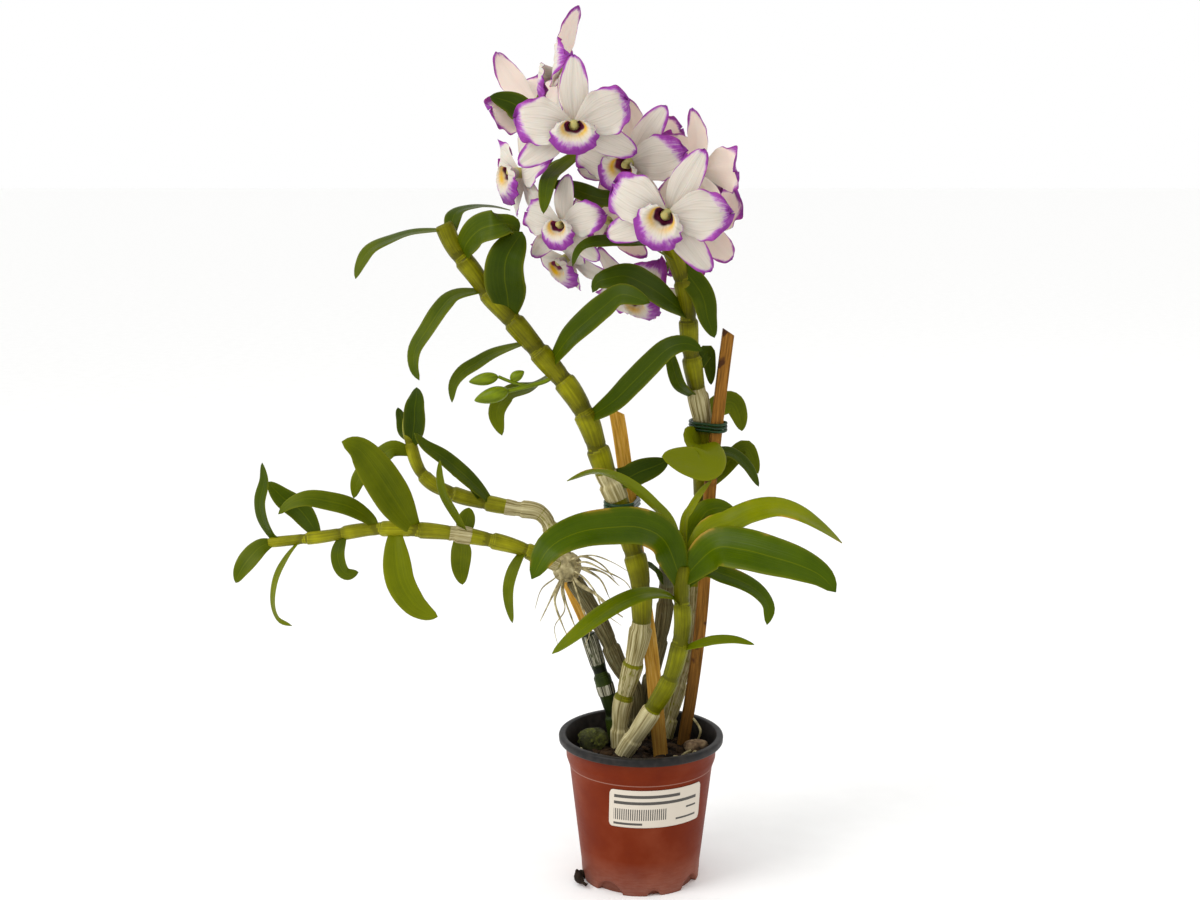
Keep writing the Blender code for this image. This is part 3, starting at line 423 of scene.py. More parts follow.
def rod(points, radius_at, rows, columns, look=0, slant=0.0, **marks):
    """A closed bar round a curve: place + radius (side cos + up sin), its ends drawn to a point."""
    places, ahead, at = route_of(points, rows)
    axis = np.eye(3)[np.argmin(np.abs(ahead).mean(axis=0))]
    side = np.cross(ahead, axis)
    side /= np.linalg.norm(side, axis=1, keepdims=True)
    up = np.cross(side, ahead)
    turn = np.linspace(0, 2 * math.pi, columns + 1)[None, :]
    radius = radius_at(at[:, None], turn) + 0 * turn
    ring = side[:, None] * np.cos(turn)[..., None] + up[:, None] * np.sin(turn)[..., None]
    grid = places[:, None] + ring * radius[..., None]
    tilt = slant * radius * np.cos(turn) * np.clip((at[:, None] - at[-1]) / 8 + 1, 0, 1)
    grid = grid + ahead[:, None] * tilt[..., None]
    grid = np.concatenate([grid[:1] * 0 + places[0], grid, grid[-1:] * 0 + places[-1]])
    v = np.concatenate([at[:1], at, at[-1:]])[:, None]
    spread = {key: np.concatenate([value[:1], value, value[-1:]]) if np.ndim(value) else value
              for key, value in marks.items()}
    return patch(grid, turn / (2 * math.pi), v, look, **spread)


# Damp pine bark: brown, corky faces on the chips, and near-black painted shade in the gaps, where the disc
# under them shows.
damp_bark, surface, tree, spot = finish_named("damp pine bark", 0.9, Specular_IOR_Level=0.2)
tone = add(tree, "Attribute", {"attribute_name": "tone"})
grain = add(tree, "TexNoise", {"Scale": 320.0, "Detail": 6.0, "Roughness": 0.7}, {"Vector": spot["Object"]})
shade = add(tree, "Math", {"operation": "MULTIPLY"}, {0: tone.outputs["Fac"], 1: grain})
skin = add(tree, "ValToRGB", {"stops": [(0.1, "0c0805"), (0.3, "1f150c"), (0.6, "43301c")]}, {"Fac": shade})
bump = add(tree, "Bump", {"Strength": 0.8, "Distance": 0.0012}, {"Height": grain})
join(surface, {"Base Color": skin, "Normal": bump})

# Live root skin: thin, pale straw to olive, matt.
root_skin, surface, tree, spot = finish_named("dry orchid root skin", 0.75)
streak = add(tree, "TexNoise", {"Scale": 260.0, "Detail": 4.0}, {"Vector": spot["Object"]})
skin = add(tree, "ValToRGB", {"stops": [(0.3, "5d5433"), (0.5, "978a5f"), (0.72, "cbc095")]},
           {"Fac": streak})
bump = add(tree, "Bump", {"Strength": 0.5, "Distance": 0.0005}, {"Height": streak})
join(surface, {"Base Color": skin, "Normal": bump})

ring = np.linspace(0, 2 * math.pi, 49)
disc = [(0, BARK_TOP - 1), (38, BARK_TOP - 1), (41.5, BARK_TOP - 2), (41, BARK_TOP - 7),
        (FOOT_RADIUS - 2, FOOT_HEIGHT), (30, FLOOR_LEVEL + 0.4), (0, FLOOR_LEVEL + 0.4)]
disc_points = np.array([[(r * math.sin(t), -r * math.cos(t), z) for t in ring] for r, z in disc])
# The disc under the chips takes the darkest tone: painted shade in the gaps between chips.
filling = [patch(disc_points, ring / (2 * math.pi), np.linspace(0, 1, len(disc))[:, None], tone=0.25)]
for number in range(CHIPS):
    reach = CHIP_REACH * math.sqrt(draw.random())
    turn = draw.uniform(0, 2 * math.pi)
    size = (draw.uniform(2.2, 5.5), draw.uniform(1.6, 3.2), draw.uniform(0.8, 1.8))
    centre = (reach * math.sin(turn), reach * math.cos(turn), BARK_TOP - 0.3 + draw.uniform(-0.6, 1.6))
    spin = np.array([draw.uniform(0, math.pi), draw.uniform(-0.5, 0.5)])
    filling.append(lump(centre, size, spin, 0.6, 0.16, 0, 6, 9, tone=draw.uniform(0.25, 1.0)))
for route in SURFACE_ROOTS:
    filling.append(rod(route, lambda s, t: ROOT_RADIUS + 0 * s, 24, 8, 1))
make_piece("bark_chips", filling, [damp_bark, root_skin], "bark_mix", smooth=False)

# The big chunks on the surface: a block green with moss on the left and a bare
# corky one on the right, each a rounded box roughened at random, and the dark scrap
# that pokes out of a notch.
MOSS_CENTRE = (-29, 12.5, 81)
MOSS_RADII = (8.3, 6.4, 6.3)
TUFTS = 56
TUFT_REACH = (7.9, 6.1, 5.8)
CORK_CENTRE = (34, 7, 79)
CORK_RADII = (7.5, 5, 3.5)
SCRAP = [(-33.9, -7.2, 2.6), (-37.6, -9, 3.0), (-39, -12, 6.5), (-38, -17, 4.6), (-36, -21, 3.6),
         (-33, -25, 3.0)]

# Moss on bark: matt and velvety, black-green in its hollows and yellow-green on top.
mossy_bark, surface, tree, spot = finish_named("moss on bark", 0.95)
tuft = add(tree, "TexNoise", {"Scale": 210.0, "Detail": 8.0, "Roughness": 0.75}, {"Vector": spot["Object"]})
moss = [(0.32, "1c1c0a"), (0.5, "3c3f10"), (0.64, "60661a"), (0.8, "7d7c34")]
skin = add(tree, "ValToRGB", {"stops": moss}, {"Fac": tuft})
bump = add(tree, "Bump", {"Strength": 1.0, "Distance": 0.002}, {"Height": tuft})
join(surface, {"Base Color": skin, "Normal": bump})

# Dry cork: matt and pale brown, with dark pits.
dry_bark, surface, tree, spot = finish_named("dry corky bark", 0.9)
cork = add(tree, "TexNoise", {"Scale": 190.0, "Detail": 7.0, "Distortion": 0.6}, {"Vector": spot["Object"]})
skin = add(tree, "ValToRGB", {"stops": [(0.3, "33261a"), (0.5, "6f583e"), (0.7, "a18a68")]}, {"Fac": cork})
bump = add(tree, "Bump", {"Strength": 0.9, "Distance": 0.0018}, {"Height": cork})
join(surface, {"Base Color": skin, "Normal": bump})

tufts = [lump(MOSS_CENTRE, MOSS_RADII, np.array([0.3, 0.1]), 0.6, 0.07, 0, 18, 28)]
for number in range(TUFTS):
    turn, rise = draw.uniform(0, 2 * math.pi), draw.uniform(-0.3, 1.0)
    reach = math.sqrt(1 - rise * rise) if rise > 0 else 1.0
    outward = np.array([reach * math.cos(turn), reach * math.sin(turn), rise])
    centre = np.array(MOSS_CENTRE) + np.array(TUFT_REACH) * outward
    size = draw.uniform(1.1, 2.4)
    tufts.append(lump(centre, (size, size * 0.8, size * 0.7), draw.uniform(0, 3, 2), 0.8, 0.2, 0, 6, 9))
make_piece("moss_block", tufts, [mossy_bark], "mossy_chunk", smooth=False)
make_piece("cork_block", [lump(CORK_CENTRE, CORK_RADII, np.array([0.3, 0.0]), 0.75, 0.05, 0, 16, 26)],
           [dry_bark], "brown_chunk")


def scrap_radius(s, t):
    """Knobbly: a slow sine along the scrap and a quick one round it."""
    return 1.7 + 0.9 * np.sin(0.45 * s + 0.7) + 0.25 * np.sin(3 * t + s)


make_piece("notch_scrap", [rod(SCRAP, scrap_radius, 40, 14, 0, tone=0.6)], [damp_bark], "root_scrap")

# Stakes: lengths of split and sanded hardwood, flat-sided with eased edges, cut off
# at a slant. The section is a box drawn from a circle by a high power.
STAKE_LEFT = [(16, -3, 50), (12, 0, 77), (9, 6, 109), (6, 11, 139), (-1, 17, 187),
              (-7, 22, 229), (-12, 26, 265), (-15, 28, 283)]
STAKE_RIGHT = [(24, 22, 48), (27, 22, 77), (31, 22, 103), (35, 22, 134), (38, 21, 167),
               (40, 20, 205), (42, 19, 242), (45, 20, 272), (48, 22, 299), (52, 25, 331)]
STAKE_BACK = [(-15, 34, 55), (-16, 34, 83), (-25, 38, 118), (-34, 41, 146), (-42, 41, 165),
              (-47, 41, 177)]


def stake_finish(name, dark, middle, light, knots):
    """Unvarnished wood: long straight grain along v, from tan to red-brown.

    It is darkened by damp at its foot, by height, and by small knots."""
    made, surface, tree, spot = finish_named(name, 0.6, Specular_IOR_Level=0.12)
    level = add(tree, "SeparateXYZ", links={0: spot["Object"]})
    lengthwise = add(tree, "Mapping", {"Scale": (26.0, 0.045, 1.0)}, {"Vector": spot["UV"]})
    grain = add(tree, "TexNoise", {"Scale": 1.0, "Detail": 6.0, "Roughness": 0.6}, {"Vector": lengthwise})
    wood = add(tree, "ValToRGB", {"stops": [(0.32, dark), (0.5, middle), (0.68, light)]}, {"Fac": grain})
    damp = add(tree, "MapRange", {"From Min": 0.17, "From Max": 0.08, "To Max": 0.75},
               {"Value": level.outputs["Z"]})
    wet = add(tree, "Mix", {"data_type": "RGBA", 7: linear("4f3512")}, {0: damp, 6: wood})
    cloud = add(tree, "TexNoise", {"Scale": 95.0, "Detail": 2.0}, {"Vector": spot["Object"]})
    knot = add(tree, "MapRange", {"From Min": knots, "From Max": knots + 0.05}, {"Value": cloud})
    whole = add(tree, "Mix", {"data_type": "RGBA", 7: linear("4a2a12")}, {0: knot, 6: wet.outputs[2]})
    bump = add(tree, "Bump", {"Strength": 0.4, "Distance": 0.0005}, {"Height": grain})
    join(surface, {"Base Color": whole.outputs[2], "Normal": bump})
    return made


# Hardwood sticks: a sanded tan one, and a rough brown one with more knots.
tan_wood = stake_finish("sanded tan hardwood", "a67629", "cf9a35", "e6ba62", 0.78)
brown_wood = stake_finish("rough brown hardwood", "56390e", "87591c", "a8742e", 0.62)


def flat_sided(half_width, half_depth):
    """A rounded box section: (|cos/w|^8 + |sin/d|^8)^(-1/8)."""
    def radius(s, t):
        return (np.abs(np.cos(t) / half_width) ** 8 + np.abs(np.sin(t) / half_depth) ** 8) ** -0.125 + 0 * s
    return radius


make_piece("split_stake_left", [rod(STAKE_LEFT, flat_sided(4.5, 3.3), 90, 40, slant=0.7)],
           [tan_wood], "stake_left")
make_piece("split_stake_right", [rod(STAKE_RIGHT, flat_sided(3.6, 3.4), 110, 40, slant=0.5)],
           [brown_wood], "stake_right")
make_piece("split_stake_back", [rod(STAKE_BACK, flat_sided(2.7, 2.6), 60, 32)],
           [tan_wood], "stake_back")

# Canes: jointed stems. Each joint is a club whose sheath, ribbed along its length,
# ends in a torn fringe above a bare olive ring. Old sheaths are dry white paper.
# A cane is a tube whose radius follows its joints, its ribs and its sheaths.
INTERNODE = 23
CANE_LEFT = [(-13, 15, 66), (-13, 14, 76), (-12, 12, 97), (-10, 10, 109), (-4, 6, 134),
             (0, 2, 158), (-1, 0, 185), (-6, 2, 206), (-13, 6, 229), (-21, 5, 248),
             (-26, 3, 263), (-32, 1, 281), (-42, 0, 299), (-58, -1, 319), (-75.5, -2, 340),
             (-88.5, -3, 355), (-98.5, -4, 369), (-108.5, -4, 382), (-115, -4, 396)]
CANE_RIGHT = [(16, 31, 66), (16, 31, 78), (23, 33, 106), (31, 35, 138), (34, 35, 183),
              (37, 34, 214), (38, 31, 246), (38, 29, 271), (34, 24, 293), (29, 17, 321),
              (26, 12, 351), (20, 11, 373), (9, 12, 396), (-6, 14, 415), (-24, 14, 432),
              (-45, 14, 454)]
SHOOT = [(-12, 3, 68), (-10, 1, 77), (-1, -7, 94), (7, -12, 109), (16, -15, 126),
         (21, -17, 143), (24, -18, 162), (23, -18, 183), (24, -18, 198)]
OLD_GREY = [(-5, 30, 66), (-5, 30, 76), (-3, 29, 91), (-4, 28, 108), (-14, 26, 126),
            (-22, 24, 146), (-31, 20, 164), (-41, 17, 181)]
OLD_MOTTLED = [(-14.5, 24.5, 66), (-15, 24.5, 78), (-17, 25.5, 93), (-21, 27, 108), (-26.5, 28, 126),
               (-32, 28, 144)]
OLD_BACK = [(3, 36, 66), (4, 36, 76), (5, 35, 99), (9.5, 33, 126), (14, 30, 150),
            (16, 28, 172), (16, 27, 189)]
PLANTLET_LOWER = [(-50, 12, 191), (-69, 8, 201), (-85, 4, 207), (-110, 0, 213),
                  (-134, -3, 216), (-160, -5, 217), (-186, -6, 213), (-202, -6, 211),
                  (-221, -6, 209)]
PLANTLET_UPPER = [(-46, 20, 195), (-52, 21, 206), (-61, 22, 221), (-78, 23, 224),
                  (-98, 24, 228), (-112, 24, 232), (-126, 22, 239), (-134, 20, 249),
                  (-138, 18, 262), (-140, 17, 274), (-138, 16, 286)]


def smoothly(value, low, high):
    """0 below low and 1 above high, with an eased rise between."""
    share = np.clip((value - low) / (high - low), 0, 1)
    return share * share * (3 - 2 * share)


def stem(points, radii, papers, joints=1.0, look=0):
    """A cane. Papers are the dry stretches: start, end and strength, in millimetres along it.

    Each joint's boundary is a slanted ring: its place along the cane moves with the
    cosine of the angle, turned a little further at every joint."""
    length = route_of(points, 400)[2][-1]
    spacing = length / round(length / INTERNODE)
    base, middle, tip = radii

    def dryness(s):
        dry = 0 * s
        for start, end, strength in papers:
            inside = smoothly(s, start - 0.5, start + 0.5) * (1 - smoothly(s, end - 0.5, end + 0.5))
            dry = np.maximum(dry, strength * inside)
        return dry

    def joint_of(s, t):
        return ((s + 1.6 * np.cos(t + 2.4 * np.floor(s / spacing))) / spacing) % 1

    def radius(s, t):
        share = s / length
        plain = base * (1 - share) ** 2 + middle * 2.4 * share * (1 - share) + tip * share ** 2
        joint = (s / spacing) % 1
        club = 0.9 + joints * 0.18 * smoothly(joint, 0, 0.85) * (1 - smoothly(joint, 0.93, 1.0))
        slanted = joint_of(s, t)
        sheathed = smoothly(slanted, 0.12, 0.16) * (1 - smoothly(slanted, 0.97, 1.0))
        ribs = 0.1 * np.cos(18 * t + 0.6 * np.sin(s / 9)) * (0.4 + dryness(s))
        return plain * club + 0.22 * sheathed + 0.35 * dryness(s) + ribs * sheathed

    rows = int(length / 0.8)
    at = np.linspace(0, length, rows)[:, None]
    turn = np.linspace(0, 2 * math.pi, 55)[None, :]
    return rod(points, radius, rows, 54, look, band=joint_of(at, turn), dry=dryness(at) + 0 * turn)


def stem_finish(name, bare, sheath, light, papers):
    """Cane skin: bare joint, ribbed sheath that lightens upwards, fringe, and dry paper."""
    made, surface, tree, spot = finish_named(name, 0.42, Specular_IOR_Level=0.1)
    band = add(tree, "Attribute", {"attribute_name": "band"})
    dry = add(tree, "Attribute", {"attribute_name": "dry"})
    ribs = add(tree, "Mapping", {"Scale": (34.0, 0.03, 1.0)}, {"Vector": spot["UV"]})
    ribs = add(tree, "TexNoise", {"Scale": 1.0, "Detail": 5.0, "Roughness": 0.6}, {"Vector": ribs})
    teeth = add(tree, "Mapping", {"Scale": (40.0, 0.2, 1.0)}, {"Vector": spot["UV"]})
    teeth = add(tree, "TexNoise", {"Scale": 1.0, "Detail": 2.0}, {"Vector": teeth})
    fringe = add(tree, "Math", {"operation": "MULTIPLY_ADD", 1: -0.45}, {0: teeth, 2: band.outputs["Fac"]})
    cover = add(tree, "MapRange", {"From Min": -0.1, "From Max": -0.04}, {"Value": fringe})
    green = add(tree, "ValToRGB", {"stops": [(0.0, bare), (0.14, sheath), (0.8, light), (0.99, sheath)]},
                {"Fac": band.outputs["Fac"]})
    mottle = add(tree, "TexNoise", {"Scale": 70.0, "Detail": 4.0}, {"Vector": spot["Object"]})
    uneven = add(tree, "MapRange", {"From Min": 0.35, "From Max": 0.65, "To Min": 0.7, "To Max": 1.2},
                 {"Value": mottle})
    ribbed = add(tree, "MapRange", {"From Min": 0.35, "From Max": 0.65, "To Min": 0.72, "To Max": 1.2},
                 {"Value": ribs})
    bright = add(tree, "Math", {"operation": "MULTIPLY"}, {0: uneven, 1: ribbed})
    lit = add(tree, "VectorMath", {"operation": "SCALE"}, {0: green, "Scale": bright})
    skin = add(tree, "Mix", {"data_type": "RGBA", 6: linear(bare)}, {0: cover, 7: lit})
    paper = add(tree, "ValToRGB", {"stops": papers}, {"Fac": ribs})
    flake = add(tree, "Math", {"operation": "MULTIPLY_ADD", 1: 0.9, 2: -0.45}, {0: teeth})
    peeled = add(tree, "Math", {"operation": "ADD"}, {0: flake, 1: dry.outputs["Fac"]})
    peeled = add(tree, "MapRange", {"From Min": 0.42, "From Max": 0.6}, {"Value": peeled})
    whole = add(tree, "Mix", {"data_type": "RGBA"}, {0: peeled, 6: skin.outputs[2], 7: paper})
    rough = add(tree, "MapRange", {"To Min": 0.38, "To Max": 0.85}, {"Value": peeled})
    join(surface, {"Roughness": rough})
    bump = add(tree, "Bump", {"Strength": 0.7, "Distance": 0.0007}, {"Height": ribs})
    join(surface, {"Base Color": whole.outputs[2], "Normal": bump})
    return made


# Living and old canes: olive rings, yellow-green ribbed sheaths and white dry paper.
# The plantlet is younger and yellower, the shoot has fresher paper, and the old canes
# are grey, or dark green with black and white flakes.
WHITE_PAPER = [(0.3, "4a3f1e"), (0.44, "887c4f"), (0.58, "b8ae84"), (0.78, "ddd6b4")]
NEW_PAPER = [(0.3, "6a5b34"), (0.44, "a09367"), (0.58, "c6bc90"), (0.78, "e2dab6")]
GREY_PAPER = [(0.3, "2a2513"), (0.5, "5a5234"), (0.68, "867d5c"), (0.85, "aba284")]
FLAKED_PAPER = [(0.4, "0b0b07"), (0.5, "77745e"), (0.6, "bfbcaa")]
green_cane = stem_finish("ribbed green cane", "4d4b03", "625f02", "7d7b04", WHITE_PAPER)
bright_cane = stem_finish("yellow-green plantlet cane", "62600a", "75740a", "8f8c10", WHITE_PAPER)
young_cane = stem_finish("young green cane", "545402", "626202", "737303", NEW_PAPER)
grey_cane = stem_finish("dry grey cane", "4c4f28", "5c5d3a", "74735a", GREY_PAPER)
mottled_cane = stem_finish("dark green old cane", "0f1404", "202c08", "2f3b0c", FLAKED_PAPER)

# Leaves: thick leathery straps with a blunt tip, folded in a shallow V along a
# sunken midrib and a little wavy at the edge. The route runs along the midrib.
LEAF_THICKNESS = 0.6


def leaf_outline(a):
    """Half-width along a leaf: a clasping base, widest below the middle, a blunt tip."""
    rise = 0.34 + 0.66 * np.sin(math.pi / 2 * np.clip(a / 0.42, 0, 1))
    fall = np.clip(1 - (np.clip(a - 0.42, 0, None) / 0.58) ** 2.4, 0, 1) ** 0.62
    return np.maximum(rise * fall, 0.02)


def blade(root, points, width, facing, look, tone, rows=34, columns=22, fold=0.24):
    """A leaf: midrib + side b half-width + up (fold |b| and a ripple at the edge)."""
    places, ahead, at = route_of([root, *points], 80)
    share = at / at[-1]
    near, far = (np.array(way) / np.linalg.norm(way) for way in (facing[:3], facing[-3:]))
    outlook = near + share[:, None] * (far - near)
    lift = outlook - np.sum(outlook * ahead, axis=1, keepdims=True) * ahead
    lift /= np.linalg.norm(lift, axis=1, keepdims=True)
    beside = np.cross(ahead, lift)
    phase = draw.uniform(0, 6)
    ripple = draw.uniform(0.03, 0.07)

    def place(a, b):
        a, b = np.broadcast_arrays(np.clip(a, 0, 1), b)

        def follow(field):
            return np.stack([np.interp(a, share, field[:, axis]) for axis in range(3)], axis=-1)

        half = width / 2 * leaf_outline(a)
        rise = fold * half * (np.sqrt(b * b + 0.02) - 0.14) - 0.1 * half * b ** 4
        rise = rise + ripple * half * np.sin(7 * a + phase + 1.4 * np.sign(b)) * b * b
        return follow(places) + follow(beside) * (b * half)[..., None] + follow(lift) * rise[..., None]

    grid, a, b, side = sheet(place, rows, columns, LEAF_THICKNESS)
    upper = np.sign(np.sum(np.cross(ahead, beside) * lift))
    under = np.clip(0.5 - 3 * side * upper, 0, 1)
    return patch(grid, (b + 1) / 2 + 0 * a, a * at[-1] + 0 * b, look, under=under,
                 edge=np.abs(b) ** 14 + 0 * a, tone=tone, share=a + 0 * b)


def leaf_finish(name, dark, middle, light, beneath, sheen, scorch):
    """Leaf skin: fine parallel veins, a paler midrib line, a lighter and duller underside."""
    made, surface, tree, spot = finish_named(name, sheen, IOR=1.42, Specular_IOR_Level=0.08)
    tone = add(tree, "Attribute", {"attribute_name": "tone"})
    under = add(tree, "Attribute", {"attribute_name": "under"})
    edge = add(tree, "Attribute", {"attribute_name": "edge"})
    cloud = add(tree, "TexNoise", {"Scale": 45.0, "Detail": 3.0}, {"Vector": spot["Object"]})
    veins = add(tree, "Mapping", {"Scale": (36.0, 0.012, 1.0)}, {"Vector": spot["UV"]})
    veins = add(tree, "TexNoise", {"Scale": 1.0, "Detail": 3.0}, {"Vector": veins})
    blend = add(tree, "Math", {"operation": "MULTIPLY_ADD", 1: 0.45}, {0: cloud, 2: tone.outputs["Fac"]})
    blend = add(tree, "Math", {"operation": "MULTIPLY_ADD", 1: 0.3}, {0: veins, 2: blend})
    top = add(tree, "ValToRGB", {"stops": [(0.25, dark), (0.6, middle), (1.0, light)]}, {"Fac": blend})
    back = add(tree, "Mix", {"data_type": "RGBA", 7: linear(beneath)}, {0: under.outputs["Fac"], 6: top})
    apart = add(tree, "SeparateXYZ", links={0: spot["UV"]})
    rib = add(tree, "Math", {"operation": "COMPARE", 1: 0.5, 2: 0.012}, {0: apart.outputs["X"]})
    rib = add(tree, "Math", {"operation": "MULTIPLY", 1: 0.3}, {0: rib})
    keel = add(tree, "Mix", {"data_type": "RGBA", 7: linear(light)}, {0: rib, 6: back.outputs[2]})
    rim = add(tree, "Math", {"operation": "MULTIPLY", 1: 0.4}, {0: edge.outputs["Fac"]})
    whole = add(tree, "Mix", {"data_type": "RGBA", 7: linear("8d8a1a")}, {0: rim, 6: keel.outputs[2]})
    dead = add(tree, "MapRange", {"From Min": scorch, "From Max": scorch + 0.06}, {"Value": cloud})
    dead = add(tree, "Math", {"operation": "MULTIPLY"}, {0: dead, 1: edge.outputs["Fac"]})
    whole = add(tree, "Mix", {"data_type": "RGBA", 7: linear("b8893a")}, {0: dead, 6: whole.outputs[2]})
    bump = add(tree, "Bump", {"Strength": 0.3, "Distance": 0.0006}, {"Height": veins})
    join(surface, {"Base Color": whole.outputs[2], "Normal": bump})
    return made


# Mature leaf: deep green with a waxy cuticle. Young leaf: yellower and glossier.
mature_leaf = leaf_finish("waxy mature leaf", "223301", "3a4802", "686f03", "555c08", 0.36, 0.66)
young_leaf = leaf_finish("glossy young leaf", "2c4001", "475902", "777d04", "66700a", 0.26, 0.56)

# Left cane: the tallest leaning cane, ten leaves, and a stalk of three long buds.
LEFT_RADII = (4.6, 6.5, 4.8)
LEFT_PAPERS = [(0, 43, 0.75), (46, 66, 0.6), (68, 95, 1.0), (171, 190, 1.0)]
# Leaves: distance of the root along the cane, width, the way the upper face looks,
# a tone from dark to light, and the midrib's points after the root.
LEAVES_LEFT = [
    (362, 14, (-0.3, -0.25, 0.9, -0.5, -0.6, 0.6), 0.3, [(-132, -8, 391), (-145, -14, 387),
     (-155, -19, 382), (-160, -23, 374), (-163, -26, 366)]),
    (356, 12, (0, -0.2, 1), 0.2, [(-109, 5, 401), (-99, 12, 405), (-88, 21, 405), (-78, 28, 403)]),
    (343, 20, (-0.3, -0.9, 0.4), 0.2, [(-101, -11, 385), (-93, -20, 393), (-84, -26, 396), (-76, -19, 396),
     (-71, -14, 392)]),
    (300, 24, (-0.1, -1, 0.1), 0.05, [(-78, -11, 355), (-79, -20, 367), (-77, -26, 379), (-69, -18, 392)]),
    (320, 15, (-0.1, -0.35, 1, -0.7, -0.7, 0.1), 0.3, [(-108, -4, 355), (-116, -8, 348), (-124, -13, 336),
     (-131, -14, 325), (-132, -15, 315), (-129, -16, 307)]),
    (281, 11, (-0.1, -0.35, 1, -0.6, -0.75, 0.2), 0.3, [(-86, 0, 321), (-97, -2, 315), (-105, -4, 310),
     (-110, -6, 303), (-111, -8, 293)]),
    (259, 13, (0, -0.2, 1, -0.3, -1, 0.3), 0.4, [(-64, 6, 300), (-78, 11, 296), (-86, 10, 285),
     (-83, 8, 271)]),
    (263, 18, (-0.4, -0.8, 0.5), 0.15, [(-47, -9, 325), (-41, -15, 333), (-32, -24, 342), (-22, -32, 351),
     (-12, -39, 358), (3, -46, 354)]),
    (224, 17, (-0.35, -0.8, 0.5), 0.1, [(-17, -12, 294), (-6, -21, 306), (4, -27, 317), (14, -32, 327),
     (24, -34, 330), (33, -34, 326)]),
    (188, 15, (0, -0.9, 0.4), 0, [(-9, 6, 246), (-1, 8, 249), (8, 10, 252), (16, 13, 255)]),
]
# The stalk of buds, and each bud from its tail to its tip with its radius.
BUD_STALK = [(-56, -2, 305), (-67, -4, 302), (-76, -6, 300), (-82, -8, 299)]
BUD_FORK = (-77, -6, 305)
BUD_ROOT = 258
BUD_STALK_RADIUS = 1.3
BUD_FORK_RADIUS = 1.0
BUDS = [((-78, -8, 300), (-98, -8, 294), 4.6), ((-84, -7, 308), (-101, -8, 305), 3.6),
        ((-77, -6, 306), (-69, -6, 311), 3.0)]


def leaves_of(points, leaves, look):
    """The blades of a cane, each rooted at its distance along the cane."""
    places, _, at = route_of(points, 400)
    blades = []
    for distance, width, facing, tone, middles in leaves:
        root = [np.interp(distance, at, places[:, axis]) for axis in range(3)]
        blades.append(blade(root, middles, width, facing, look, tone))
    return blades


def bud(tail, head, radius, look):
    """A pointed egg: its radius is the sine of the way along, drawn towards the tail."""
    middle = (np.array(tail) + np.array(head)) / 2
    length = np.linalg.norm(np.array(head) - np.array(tail))

    def egg(s, t):
        return radius * np.sin(math.pi * np.minimum(s / length, 1) ** 0.8) ** 0.7 + 0.15

    return rod([tail, middle, head], egg, 40, 20, look)


# Bud and flower-stalk skin: smooth, fresh yellow-green.
bud_skin, surface, tree, spot = finish_named("smooth bud skin", 0.4, Specular_IOR_Level=0.15)
long_marks = add(tree, "Mapping", {"Scale": (9.0, 0.1, 1.0)}, {"Vector": spot["UV"]})
tint = add(tree, "TexNoise", {"Scale": 1.0, "Detail": 3.0}, {"Vector": long_marks})
skin = add(tree, "ValToRGB", {"stops": [(0.3, "4f5e02"), (0.6, "6a7a02"), (0.85, "828c0a")]}, {"Fac": tint})
join(surface, {"Base Color": skin})

left_places, _, left_at = route_of(CANE_LEFT, 400)
bud_root = tuple(np.interp(BUD_ROOT, left_at, left_places[:, axis]) for axis in range(3))
left_parts = [stem(CANE_LEFT, LEFT_RADII, LEFT_PAPERS), *leaves_of(CANE_LEFT, LEAVES_LEFT, 1)]
left_parts.append(rod([bud_root, *BUD_STALK], lambda s, t: BUD_STALK_RADIUS + 0 * s, 40, 14, 2))
fork = [BUD_STALK[1], BUD_FORK, BUDS[1][0]]
left_parts.append(rod(fork, lambda s, t: BUD_FORK_RADIUS + 0 * s, 20, 12, 2))
left_parts += [bud(tail, head, radius, 2) for tail, head, radius in BUDS]
make_piece("left_cane", left_parts, [green_cane, mature_leaf, bud_skin], "cane_left")

